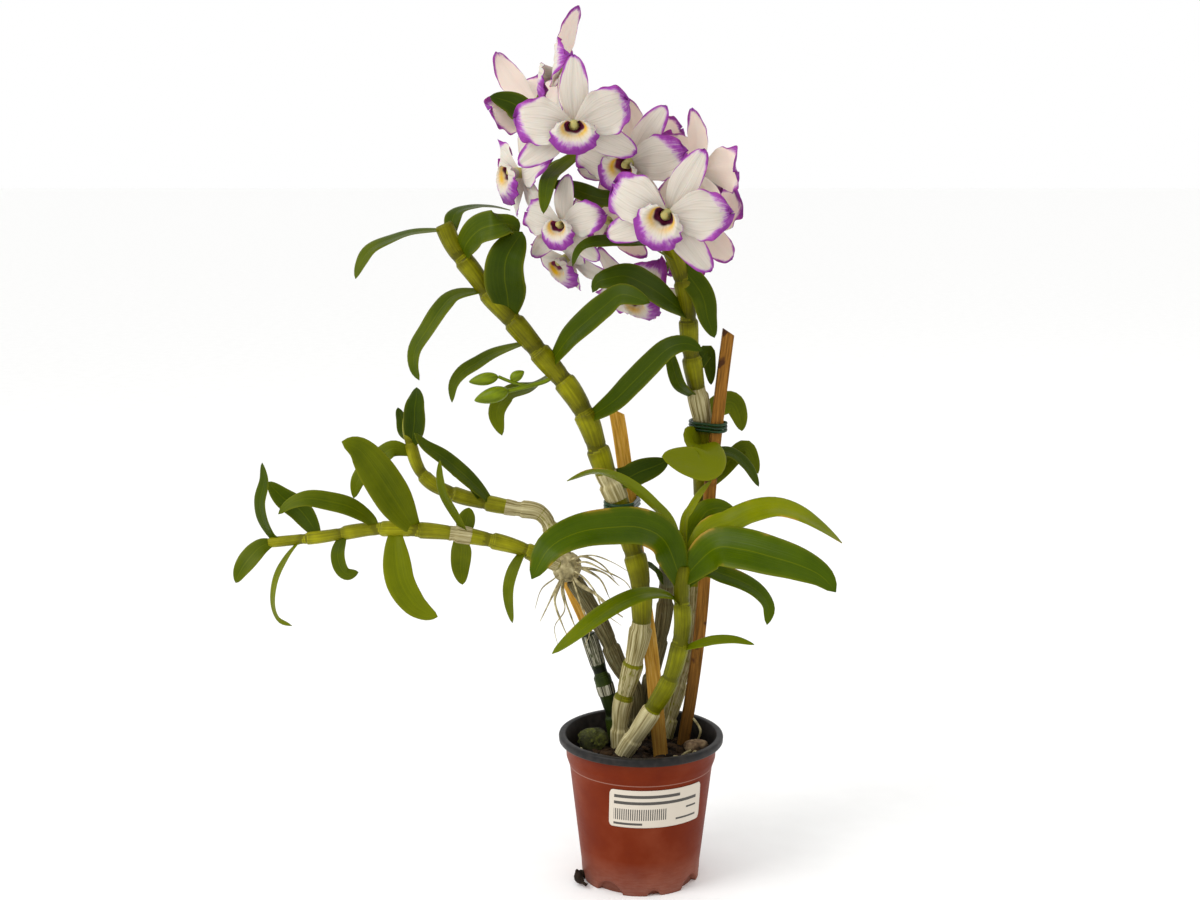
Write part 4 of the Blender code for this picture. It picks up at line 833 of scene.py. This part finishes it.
# Right cane: arches over to the left at its top, hidden by the blooms, and carries
# a pedicel to each of them.
RIGHT_RADII = (4.6, 5.6, 3.6)
RIGHT_PAPERS = [(0, 110, 0.6), (211, 236, 0.95)]
LEAVES_RIGHT = [
    (281, 19, (-0.2, -0.75, 0.65, -0.5, -0.7, 0.3), 0.1, [(12, -2, 354), (2, -12, 361), (-10, -22, 367),
     (-20, -26, 366), (-26, -24, 364), (-29, -22, 358)]),
    (316, 15, (0.3, -1, 0.2), 0.2, [(32, 8, 359), (36, 5, 351), (38, 2, 341), (42, 0, 330)]),
    (244, 9, (0.3, -1, 0.2), 0.1, [(39, 26, 319), (41, 28, 311), (42, 26, 299)]),
    (228, 10, (-0.6, -0.8, 0), 0.2, [(23, 14, 300), (18, 12, 314), (15, 14, 327)]),
    (313, 11, (-0.1, -0.3, 0.95, -0.6, -0.8, 0.1), 0.1, [(2, -6, 384), (-10, -16, 386), (-21, -24, 387),
     (-31, -30, 386), (-37, -35, 382), (-40, -40, 374)]),
    (360, 18, (-0.1, -0.6, 0.7), 0.2, [(-22, 0, 410), (-39, -6, 415), (-54, -10, 419)]),
    (400, 11, (-0.2, -0.7, 0.6, -0.2, -0.95, 0.1), 0.3, [(-39, 8, 435), (-49, -8, 427), (-54, -24, 420),
     (-56, -42, 403)]),
    (414, 17, (-0.2, -0.8, 0.5), 0, [(-67, 19, 459), (-76, 22, 465), (-89, 23, 469)]),
    (217, 14, (0.2, -1, 0.3), 0.4, [(48, 38, 285), (56, 42, 286), (60, 41, 279), (62, 38, 269)]),
    (191, 10, (0.2, -0.5, 0.85), 0.2, [(54, 36, 256), (65, 34, 248), (72, 30, 236)]),
    (169, 11, (0.1, -1, 0.2), 0.4, [(57, 46, 251), (65, 48, 257), (70, 47, 250), (73, 46, 241)]),
    (203, 24, (0.9, -0.4, 0.3, -0.1, -0.8, 0.6), 0.75, [(31, 14, 266), (39, 3, 262), (36, -4, 256),
     (25, -11, 258), (11, -20, 263)]),
]
# Blooms: middle, the way the bloom looks, the way its top sepal points, size, the
# distance along the right cane where its pedicel grows, and a point that it passes.
BLOOMS = [
    ((-47, 0, 481), (-0.95, 0.03, 0.1), (0.25, 0.0, 1.0), 1.0, 418, (-42, 6, 468)),
    ((-64, 34, 464), (-0.35, 0.6, -0.5), (-0.5, 0.1, 0.7), 1.0, 412, (-56, 22, 466)),
    ((-39, -40, 451), (0.0, -1.0, -0.05), (0.0, 0.0, 1.0), 1.0, 402, (-38, 0, 446)),
    ((-8, -17, 431), (-0.4, -0.85, -0.25), (0.55, 0.0, 0.83), 1.0, 376, (-7, 5, 428)),
    ((12, -52, 403), (-0.25, -0.95, -0.1), (0.47, 0.0, 0.88), 1.05, 350, (16, -19, 396)),
    ((31, -6, 426), (0.72, 0.65, 0.2), (0.35, 0.0, 0.9), 1.0, 340, (20, -6, 410)),
    ((34, 30, 393), (0.55, 0.75, -0.3), (0.75, 0.0, -0.6), 1.0, 330, (26, 16, 392)),
    ((-70, 6, 425), (-0.9, -0.42, 0.0), (-0.05, 0.0, 1.0), 1.0, 392, (-48, 12, 432)),
    ((-46, -20, 396), (-0.4, -0.91, 0.0), (0.0, 0.0, 1.0), 0.76, 366, (-30, 2, 402)),
    ((-44, 14, 376), (-0.7, -0.5, -0.5), (-0.5, 0.0, 0.85), 0.9, 346, (-24, 18, 384)),
    ((-1, 44, 354), (-0.4, -0.6, -0.7), (-0.5, 0.0, 0.6), 0.95, 322, (12, 42, 356)),
    ((-21, 36, 397), (-0.5, 0.8, 0.1), (0.0, 0.0, 1.0), 0.9, 356, (-8, 26, 402)),
    ((-1, 34, 438), (0.2, 0.95, 0.2), (-0.2, 0.0, 1.0), 0.9, 384, (-8, 24, 432)),
]
NECK_BACK = 6
PEDICEL_RADIUS = 1.15

right_places, _, right_at = route_of(CANE_RIGHT, 400)
right_parts = [stem(CANE_RIGHT, RIGHT_RADII, RIGHT_PAPERS), *leaves_of(CANE_RIGHT, LEAVES_RIGHT, 1)]
for centre, facing, _, size, distance, middle in BLOOMS:
    ahead = np.array(facing) / np.linalg.norm(facing)
    end = np.array(centre) - ahead * (NECK_BACK * size + 0.3)
    root = [np.interp(distance, right_at, right_places[:, axis]) for axis in range(3)]
    pedicel = [root, middle, end - ahead * 5, end]
    right_parts.append(rod(pedicel, lambda s, t: PEDICEL_RADIUS + 0 * s, 40, 12, 2))
make_piece("right_cane", right_parts, [green_cane, mature_leaf, bud_skin], "cane_right")

# Young shoot: this year's growth in front, light green and glossy, on a foot of
# white fibrous sheath.
SHOOT_RADII = (5.0, 5.2, 4.6)
LEAVES_SHOOT = [
    (130, 27, (-0.1, -0.7, 0.7), 0.05, [(13, -29, 214), (-1, -36, 224), (-18, -44, 226), (-37, -53, 225),
     (-53, -61, 218), (-63, -64, 201)]),
    (138, 13, (0.25, 0.5, 0.8), 0.6, [(16, -14, 222), (5, -15, 235), (-6, -17, 245), (-18, -19, 252),
     (-30, -21, 254), (-44, -22, 249)]),
    (141, 8, (-0.8, -0.5, 0.3), 0.6, [(25, -6, 221), (29, -4, 229), (35, -4, 239), (41, -4, 246)]),
    (138, 18, (0.1, -0.8, 0.6, 0.3, -0.3, 1), 0.5, [(38, -14, 217), (51, -15, 223), (64, -19, 230),
     (78, -22, 233), (91, -26, 230), (103, -28, 223), (115, -30, 214)]),
    (132, 27, (0.1, -0.8, 0.6), 0.1, [(41, -29, 210), (56, -38, 212), (72, -48, 210), (87, -56, 207),
     (99, -61, 202), (107, -66, 194)]),
    (113, 14, (-0.2, -0.35, 0.9, -0.2, -0.6, 0.8), 0.35, [(16, -24, 181), (2, -31, 184), (-12, -39, 181),
     (-27, -48, 174), (-40, -54, 165), (-52, -58, 156)]),
    (126, 14, (0.3, -0.6, 0.7), 0.2, [(35, -11, 194), (48, -8, 190), (61, -9, 185), (70, -11, 179),
     (75, -12, 171), (74, -14, 161)]),
    (89, 7, (0, -0.6, 0.8), 0.4, [(34, -23, 152), (43, -26, 155), (54, -29, 156), (65, -32, 154)]),
    (135, 17, (-0.3, -0.8, 0.4), 0.3, [(35, 3, 220), (43, 6, 227), (56, 8, 226)]),
]
make_piece("new_shoot", [stem(SHOOT, SHOOT_RADII, [(0, 47, 1.0)], 0.5), *leaves_of(SHOOT, LEAVES_SHOOT, 1)],
           [young_cane, young_leaf], "young_shoot")

# Old canes: leafless, two in dry grey sheaths and a short one still dark green, with
# white and black flakes at its joints.
LEAVES_BACK = [(109, 6, (-0.3, -0.6, 0.7), 0.1, [(8, 16, 188), (2, 12, 191), (-1, 11, 183)])]
make_piece("grey_cane", [stem(OLD_GREY, (4.0, 4.6, 4.4), [(0, 60, 0.8), (60, 130, 0.62)])], [grey_cane],
           "old_cane_grey")
make_piece("dark_cane", [stem(OLD_MOTTLED, (4.0, 4.6, 4.0), [(0, 8, 0.7), (40, 47, 0.8), (60, 80, 0.6)])],
           [mottled_cane], "old_cane_mottled")
make_piece("rear_cane", [stem(OLD_BACK, (4.0, 4.4, 4.0), [(0, 110, 0.66)]),
                         *leaves_of(OLD_BACK, LEAVES_BACK, 1)],
           [grey_cane, mature_leaf], "old_cane_back")

# Plantlet: a young plant that grew on a joint of the grey cane, with two leafy canes
# and a tuft of air roots that hang from its matted base.
PLANTLET_RADII = (4.2, 4.4, 2.6)
LEAVES_LOWER = [
    (175, 13, (-0.4, -0.85, 0.2), 0.35, [(-225, -9, 207), (-231, -13, 201), (-236, -15, 194),
     (-239, -16, 187)]),
    (171, 10, (-0.6, -0.8, 0), 0.2, [(-219, -7, 214), (-223, -10, 224), (-224, -11, 235), (-221, -12, 247),
     (-222, -12, 258)]),
    (148, 14, (-0.3, -0.9, 0.3), 0.2, [(-195, -3, 218), (-203, 2, 227), (-214, 6, 234), (-223, 8, 243)]),
    (113, 12, (-0.2, -0.8, 0.6), 0.35, [(-161, -8, 224), (-171, -14, 232), (-183, -17, 236),
     (-195, -19, 238), (-205, -20, 235), (-212, -20, 229)]),
    (158, 7, (-0.8, -0.6, 0.1), 0.5, [(-209, -12, 202), (-215, -16, 190), (-217, -18, 176),
     (-214, -19, 166), (-206, -20, 162)]),
    (132, 10, (-0.4, -0.9, 0), 0.3, [(-179, -11, 205), (-178, -13, 197), (-174, -14, 192),
     (-167, -14, 193)]),
    (90, 23, (0.3, -0.9, 0.3), 0.45, [(-139, -9, 225), (-146, -19, 240), (-154, -30, 257), (-162, -36, 270),
     (-171, -40, 275)]),
    (102, 17, (0.1, -1, 0.1), 0.5, [(-145, -12, 205), (-142, -19, 189), (-135, -21, 177), (-128, -21, 171),
     (-120, -22, 168)]),
    (62, 11, (0, -1, 0.1), 0.4, [(-105, 6, 219), (-104, 8, 223), (-103, 9, 227)]),
    (64, 12.5, (0, -1, 0), 0.45, [(-108, 7, 202), (-109, 12, 190), (-108, 12, 179)]),
    (59, 8, (-0.6, -0.8, 0), 0.4, [(-110, -7, 226), (-116, -12, 239), (-118, -14, 250), (-118, -14, 260)]),
    (20, 9, (-0.6, -0.75, 0.2), 0.4, [(-71, 6, 200), (-76, 1, 192), (-79, -3, 182), (-79, -5, 172),
     (-77, -6, 160)]),
]
LEAVES_UPPER = [
    (60, 12, (0.3, -0.7, 0.6), 0.25, [(-98, 18, 237), (-108, 12, 248), (-118, 6, 258), (-128, 1, 266),
     (-134, -2, 274)]),
    (126, 14, (-0.2, -1, 0), 0.05, [(-135, 9, 278), (-134, 4, 288), (-133, 4, 294), (-133, 6, 300)]),
    (130, 8, (-0.3, -1, 0), 0.1, [(-143, 22, 272), (-144, 22, 279), (-146, 20, 286)]),
    (122, 12, (-0.3, -0.9, 0.3), 0.4, [(-148, 15, 262), (-155, 13, 258), (-162, 11, 252), (-169, 9, 244),
     (-172, 8, 233)]),
    (66, 7, (0.2, -0.8, 0.5), 0.2, [(-102, 16, 240), (-108, 13, 245), (-114, 10, 248)]),
]
# The matted base, and each root after it: its points and its radius.
KNOT_CENTRE = (-45, 16, 189)
KNOT_RADII = (9, 8, 9)
AIR_ROOTS = [
    ([(-33, 9, 190), (-22, 8, 187), (-13, 8, 179)], 0.9),
    ([(-36, 8, 190), (-25, 6, 184), (-19, 6, 172)], 0.9),
    ([(-38, 8, 181), (-28, 6, 175), (-18, 4, 166), (-11, 7, 160)], 1.3),
    ([(-50, 10, 180), (-54, 8, 172), (-61, 4, 158)], 0.8),
    ([(-49, 8, 180), (-52, 6, 170), (-47, 4, 155), (-43, 3, 147)], 0.9),
    ([(-47, 8, 176), (-42, 6, 160), (-38, 6, 150)], 0.8),
    ([(-36, 10, 197), (-24, 10, 192), (-16, 9, 183)], 0.8),
    ([(-34, 8, 194), (-22, 2, 190), (-10, 0, 184), (-4, -6, 176)], 0.6),
    ([(-36, 6, 186), (-28, 0, 178), (-22, -4, 166), (-12, -5, 158)], 0.6),
    ([(-40, 6, 180), (-36, 2, 168), (-31, 0, 154), (-34, -2, 144)], 0.55),
    ([(-52, 8, 184), (-60, 4, 178), (-64, 2, 166)], 0.5),
    ([(-42, 6, 196), (-30, 4, 199), (-18, 4, 195), (-8, 0, 190)], 0.55),
    ([(-48, 6, 178), (-46, 2, 166), (-52, 0, 156), (-50, -1, 144)], 0.5),
]
make_piece("plantlet_long_cane", [stem(PLANTLET_LOWER, PLANTLET_RADII, [(0, 18, 0.7), (57, 70, 0.85)]),
                                  *leaves_of(PLANTLET_LOWER, LEAVES_LOWER, 1)],
           [bright_cane, mature_leaf], "plantlet_lower")
make_piece("plantlet_short_cane", [stem(PLANTLET_UPPER, PLANTLET_RADII, [(0, 30, 0.6), (30, 52, 0.85)]),
                                   *leaves_of(PLANTLET_UPPER, LEAVES_UPPER, 1)],
           [bright_cane, mature_leaf], "plantlet_upper")


def strand(route, radius, look):
    """A root that tapers to a point and thickens a little here and there."""
    length = route_of(route, 60)[2][-1]

    def thickness(s, t):
        return radius * (1.05 - 0.85 * (s / length) ** 2) * (1 + 0.15 * np.sin(s / 2.3))

    return rod(route, thickness, 44, 9, look)


roots = [lump(KNOT_CENTRE, KNOT_RADII, np.array([0.4, 0.0]), 0.9, 0.06, 0, 14, 22)]
roots += [strand([KNOT_CENTRE, *route], radius, 0) for route, radius in AIR_ROOTS]
make_piece("air_roots", roots, [root_skin], "plantlet_roots")

# Ties: green plastic-coated garden wire, wound three times round a cane and its
# stake. A turn is the outline of both stems, drawn round at one height.
WIRE = 0.9
LEFT_TIE_LEVEL = 229
RIGHT_TIE_LEVEL = 274.5
tie_green, surface, tree, spot = finish_named("glossy green wire coating", 0.35, Specular_IOR_Level=0.3)
tint = add(tree, "TexNoise", {"Scale": 300.0, "Detail": 2.0}, {"Vector": spot["Object"]})
coating = add(tree, "ValToRGB", {"stops": [(0.3, "061c08"), (0.7, "123d14")]}, {"Fac": tint})
join(surface, {"Base Color": coating})


def wraps(first, first_radius, second, second_radius, height):
    """Three turns of wire: the farther of two circles at each angle, at rising heights."""
    cores = []
    for points, radius in ((first, first_radius), (second, second_radius)):
        places = route_of(points, 400)[0]
        cores.append((places[np.argmin(np.abs(places[:, 2] - height))], radius + 1.8))
    turns = []
    angle = np.linspace(0, 2 * math.pi, 33)[:-1]
    ways = np.stack([np.cos(angle), np.sin(angle), 0 * angle], axis=1)
    reaches = np.stack([ways[:, :2] @ core[:2] + radius for core, radius in cores])
    chosen = np.argmax(reaches, axis=0)
    for lift in (-2.0, 0.0, 2.0):
        ring = np.array([cores[pick][0] + way * cores[pick][1] for pick, way in zip(chosen, ways)])
        ring[:, 2] = height + lift + 0.5 * np.sin(angle)
        ring = np.vstack([ring, ring[:1]])
        turns.append(rod(ring, lambda s, t: WIRE + 0 * s, 90, 10))
    return turns


make_piece("wire_left", wraps(CANE_LEFT, 7.0, STAKE_LEFT, 4.2, LEFT_TIE_LEVEL),
           [tie_green], "tie_left")
make_piece("wire_right", wraps(CANE_RIGHT, 6.2, STAKE_RIGHT, 3.8, RIGHT_TIE_LEVEL),
           [tie_green], "tie_right")

# Blooms: three narrow sepals behind two broad ruffled petals, and a lip rolled round
# the column into a trumpet. Each is a thin sheet bent by formula, purple at its rim.
TEPAL_THICKNESS = 0.55
SEPAL_LENGTH, SEPAL_WIDTH, SEPAL_STAIN = 38, 17, 3.2
PETAL_LENGTH, PETAL_WIDTH, PETAL_STAIN = 35, 28, 11.0
LIP_LEAN = 3
LIP_SPREAD = 150
LIP_THROAT = 0.45


def sepal_outline(a):
    """Half-width of a sepal: broad below the middle, narrowing to a blunt tip."""
    return np.maximum((0.3 + 0.7 * np.sin(math.pi / 2 * np.clip(a / 0.55, 0, 1)))
                      * np.sqrt(np.clip(1 - a ** 3.5, 0, 1)), 0.04)


def petal_outline(a):
    """Half-width of a petal: a narrow claw, then broad and round."""
    return np.maximum((0.16 + 0.84 * np.sin(math.pi / 2 * np.clip(a / 0.6, 0, 1)))
                      * np.sqrt(np.clip(1 - a ** 4, 0, 1)), 0.05)


def tepal(turn, length, width, outline, base, lift, reflex, wave, frill, curl, stain, twist=0):
    """A sepal or petal in the bloom's own axes, pointing at an angle from its top.

    It lifts by a sine along it, bends back by a square and curls back at its tip, and
    its edges ripple by two sines. Twist turns it about its own length, in degrees.
    Stain is how far the purple reaches in from the rim at its tip, in millimetres."""
    turn = math.radians(turn)
    outward = np.array([math.sin(turn), math.cos(turn), 0])
    across = np.array([math.cos(turn), -math.sin(turn), 0])
    ahead = np.array([0, 0, 1.0])
    phase, other, lean = draw.uniform(0, 6), draw.uniform(0, 6), draw.uniform(-1, 1)

    def place(a, b):
        a, b = np.broadcast_arrays(np.clip(a, 0, 1), b)
        slow = np.sin(11 * a + phase + 1.9 * np.sign(b)) * np.abs(b) ** 3
        quick = np.sin(27 * a + other - 2.6 * np.sign(b)) * np.abs(b) ** 7
        tip = np.sin(7 * b + phase) * smoothly(a, 0.75, 1.0)
        ruffle = (slow + 0.7 * quick + 0.8 * tip) * smoothly(a, 0.15, 0.7)
        half = width / 2 * outline(a) * (1 + 0.05 * frill * ruffle)
        far = 1 + (length - 1) * a * (1 + 0.02 * frill * np.sin(5 * b + other) * a ** 3)
        forward = base + lift * np.sin(math.pi * a) - reflex * a * a + wave * a * np.sin(9 * a + b) * b * b
        forward = forward + frill * ruffle - 0.6 * np.exp(-(b / 0.12) ** 2) * np.sin(math.pi * a)
        forward = forward - curl * smoothly(a + 0.12 * lean * b, 0.66, 1.06) ** 2
        far = far - 0.35 * curl * smoothly(a, 0.8, 1.05)
        angle = math.radians(twist) * smoothly(a, 0.0, 0.5)
        side = np.cos(angle)[..., None] * across + np.sin(angle)[..., None] * ahead
        return far[..., None] * outward + (b * half)[..., None] * side + forward[..., None] * ahead

    grid, a, b, side = sheet(place, 36, 36, TEPAL_THICKNESS)
    margin = np.minimum(width / 2 * outline(a) * (1 - np.abs(b)) * 1.2, (1 - a) * length)
    reach = stain * smoothly(a, 0.4, 0.95) ** 1.2 * (1 + 0.45 * lean * b + 0.3 * np.sin(4 * b + other))
    rim = np.clip(1 - margin / (0.15 + np.maximum(reach, 0)), 0, 1) * smoothly(a, 0.2, 0.6)
    # back marks the back face, which the petal finish paints a lighter cream as painted light.
    return patch(grid, (b + 1) / 2 + 0 * a, a + 0 * b, 0, rim=rim, back=np.clip(0.5 + 4 * side, 0, 1))


def lip(squash=1.0):
    """A trumpet round the column, open at its top, with a frilled front lobe turned down.

    The angle round it, in degrees from straight down, runs with b, and the way out of
    the throat with a. Squash lowers it."""

    def place(a, b):
        a, b = np.broadcast_arrays(np.clip(a, 0, 1), b)
        turn = np.radians(LIP_LEAN + LIP_SPREAD * b)
        flare = np.clip(a - LIP_THROAT, 0, None) / 0.55
        reach = 2.6 + 3.6 * np.clip(a / LIP_THROAT, 0, 1) + flare * (2.6 + 7 * np.cos(turn / 2) ** 3)
        reach = reach * (1 + (0.05 * np.sin(11 * turn) + 0.04 * np.sin(23 * turn + 1)) * flare ** 2)
        droop = 4.5 * np.clip(a - 0.7, 0, None) / 0.3 * np.cos(turn / 2)
        front = 3 + 9 * np.sin(math.pi / 2 * np.clip(a / 0.7, 0, 1)) - droop
        front = front + (1.0 * np.sin(13 * turn) + 0.5 * np.sin(29 * turn)) * flare ** 2
        low = -np.cos(turn) * reach * squash - 3 * a
        return np.stack([1.12 * np.sin(turn) * reach, low, front], axis=-1)

    grid, a, b, side = sheet(place, 34, 90, TEPAL_THICKNESS)
    turn = np.radians(LIP_LEAN + LIP_SPREAD * b)
    front = np.clip(np.cos(turn) * 1.4 + 0.2, 0.05, 1)
    rim = np.clip((a - (1 - 0.47 * front)) / (0.4 * front), 0, 1)
    inner = np.clip(0.5 + 4 * side, 0, 1) * np.ones_like(a)
    yolk = np.exp(-((a - 0.4) / 0.13) ** 2) * inner * (0.3 + 0.7 * np.abs(np.sin(turn)))
    edge = 0.34 - 0.09 * np.cos(turn) + 0.03 * np.sin(5 * turn)
    heart = np.clip((edge - a) / 0.06, 0, 1) * (0.3 + 0.7 * inner)
    return patch(grid, (b + 1) / 2 + 0 * a, a + 0 * b, 0, rim=rim, yolk=yolk, heart=heart + 0 * b,
                 back=0 * a * b)


# Petal skin: soft and finely grained, creamy white with faint veins, stained purple
# from the tips inwards along the veins. The lip has yellow beside a maroon throat.
petal_skin, surface, tree, spot = finish_named("soft orchid petal", 0.55, Subsurface_Weight=0.15,
                                               Subsurface_Scale=0.002, Specular_IOR_Level=0.15)
marks = {mark: add(tree, "Attribute", {"attribute_name": mark}).outputs["Fac"]
         for mark in ("rim", "back", "yolk", "heart", "green")}
veins = add(tree, "Mapping", {"Scale": (34.0, 1.6, 1.0)}, {"Vector": spot["UV"]})
veins = add(tree, "TexNoise", {"Scale": 1.0, "Detail": 3.0}, {"Vector": veins})
cells = add(tree, "TexNoise", {"Scale": 420.0, "Detail": 5.0}, {"Vector": spot["Object"]})
cloud = add(tree, "TexNoise", {"Scale": 120.0, "Detail": 2.0}, {"Vector": spot["Object"]})
white = add(tree, "ValToRGB", {"stops": [(0.3, "b2ab9e"), (0.46, "c2bbaf"), (0.8, "cec7bc")]},
            {"Fac": veins})
# Painted light: the back faces get a lighter cream than the fronts, a lit copy of the same white.
lit_backs = add(tree, "Mix", {"data_type": "RGBA", 7: linear("e6d8cb")}, {0: marks["back"], 6: white})
uneven = add(tree, "Math", {"operation": "MULTIPLY_ADD", 1: 0.5, 2: -0.25}, {0: cells})
streaked = add(tree, "Math", {"operation": "MULTIPLY_ADD", 1: 0.9, 2: -0.45}, {0: veins})
patchy = add(tree, "Math", {"operation": "MULTIPLY_ADD", 1: 0.8, 2: -0.42}, {0: cloud})
uneven = add(tree, "Math", {"operation": "ADD"}, {0: uneven, 1: streaked})
uneven = add(tree, "Math", {"operation": "ADD"}, {0: uneven, 1: patchy})
only_rim = add(tree, "MapRange", {"From Max": 0.15}, {"Value": marks["rim"]})
uneven = add(tree, "Math", {"operation": "MULTIPLY"}, {0: uneven, 1: only_rim})
stain = add(tree, "Math", {"operation": "ADD"}, {0: marks["rim"], 1: uneven})
wash = add(tree, "MapRange", {"From Min": 0.08, "From Max": 0.62}, {"Value": stain})
purple = add(tree, "ValToRGB", {"stops": [(0.1, "c09ac9"), (0.45, "9c4da8"), (0.9, "7e2f86")]},
             {"Fac": stain})
washed = add(tree, "Mix", {"data_type": "RGBA"}, {0: wash, 6: lit_backs.outputs[2], 7: purple})
ragged = add(tree, "Math", {"operation": "MULTIPLY_ADD", 1: 1.6, 2: 0.1}, {0: cloud})
yolk = add(tree, "Math", {"operation": "MULTIPLY", "use_clamp": True}, {0: marks["yolk"], 1: ragged})
yellow = add(tree, "Mix", {"data_type": "RGBA", 7: linear("d0a312")}, {0: yolk, 6: washed.outputs[2]})
throat = add(tree, "ValToRGB", {"stops": [(0.4, "38041f"), (0.62, "6a2346")]}, {"Fac": cloud})
maroon = add(tree, "Mix", {"data_type": "RGBA"}, {0: marks["heart"], 6: yellow.outputs[2], 7: throat})
lime = add(tree, "Mix", {"data_type": "RGBA", 7: linear("a39a3c")},
           {0: marks["green"], 6: maroon.outputs[2]})
bump = add(tree, "Bump", {"Strength": 0.3, "Distance": 0.0006}, {"Height": veins})
join(surface, {"Base Color": lime.outputs[2], "Normal": bump})

# The column and its neck, in a bloom's own axes.
COLUMN = [(0, 0, -NECK_BACK), (0, 0, -3), (0, 0, 3), (0, 0.8, 9)]


def column_radius(s, t):
    """Straight steps between a radius at the back, behind the lip, inside it and at its tip."""
    return np.interp(s, [0, 3, 9, 15], [1.5, 2.8, 3.2, 1.8])


# The angles from the top of a bloom to its top sepal, right petal, right sepal, left
# sepal and left petal, and the same for the three blooms that differ. Two blooms have
# a twisted top sepal, and one has a lip pressed lower.
TURNS = (2, 76, 133, -130, -73)
TURNS_OF = {3: (0, 66, 114, -125, -84), 4: (3, 48, 122, -134, -108), 5: (2, 62, 117, -138, -91)}
TWIST_OF = {1: 38, 2: 20}
SQUASH_OF = {3: 0.8}

for number, (centre, facing, upward, size, _, _) in enumerate(BLOOMS, 1):
    top, right, low_right, low_left, left = TURNS_OF.get(number, TURNS)
    parts = [tepal(turn, SEPAL_LENGTH, SEPAL_WIDTH, sepal_outline, base, 2, 4, 0, 0.3, draw.uniform(0, 2),
                   SEPAL_STAIN, twist)
             for turn, base, twist in ((top, -2.1, TWIST_OF.get(number, 0)), (low_right, -1.0, 0),
                                       (low_left, -3.2, 0))]
    parts += [tepal(turn, PETAL_LENGTH, PETAL_WIDTH, petal_outline, base, 4, 2, 3, 1.2, draw.uniform(3, 7),
                    PETAL_STAIN)
              for turn, base in ((right, 0.3), (left, 1.6))]
    parts.append(lip(SQUASH_OF.get(number, 1.0)))
    parts.append(rod(COLUMN, column_radius, 20, 16, green=0.8))
    ahead = np.array(facing) / np.linalg.norm(facing)
    upright = np.array(upward) - (ahead @ np.array(upward)) * ahead
    upright /= np.linalg.norm(upright)
    axes = np.stack([np.cross(upright, ahead), upright, ahead])
    for part in parts:
        part["points"] = (part["points"] * size) @ axes + np.array(centre)
    make_piece(f"flower_{number:02d}", parts, [petal_skin], f"bloom_{number:02d}")
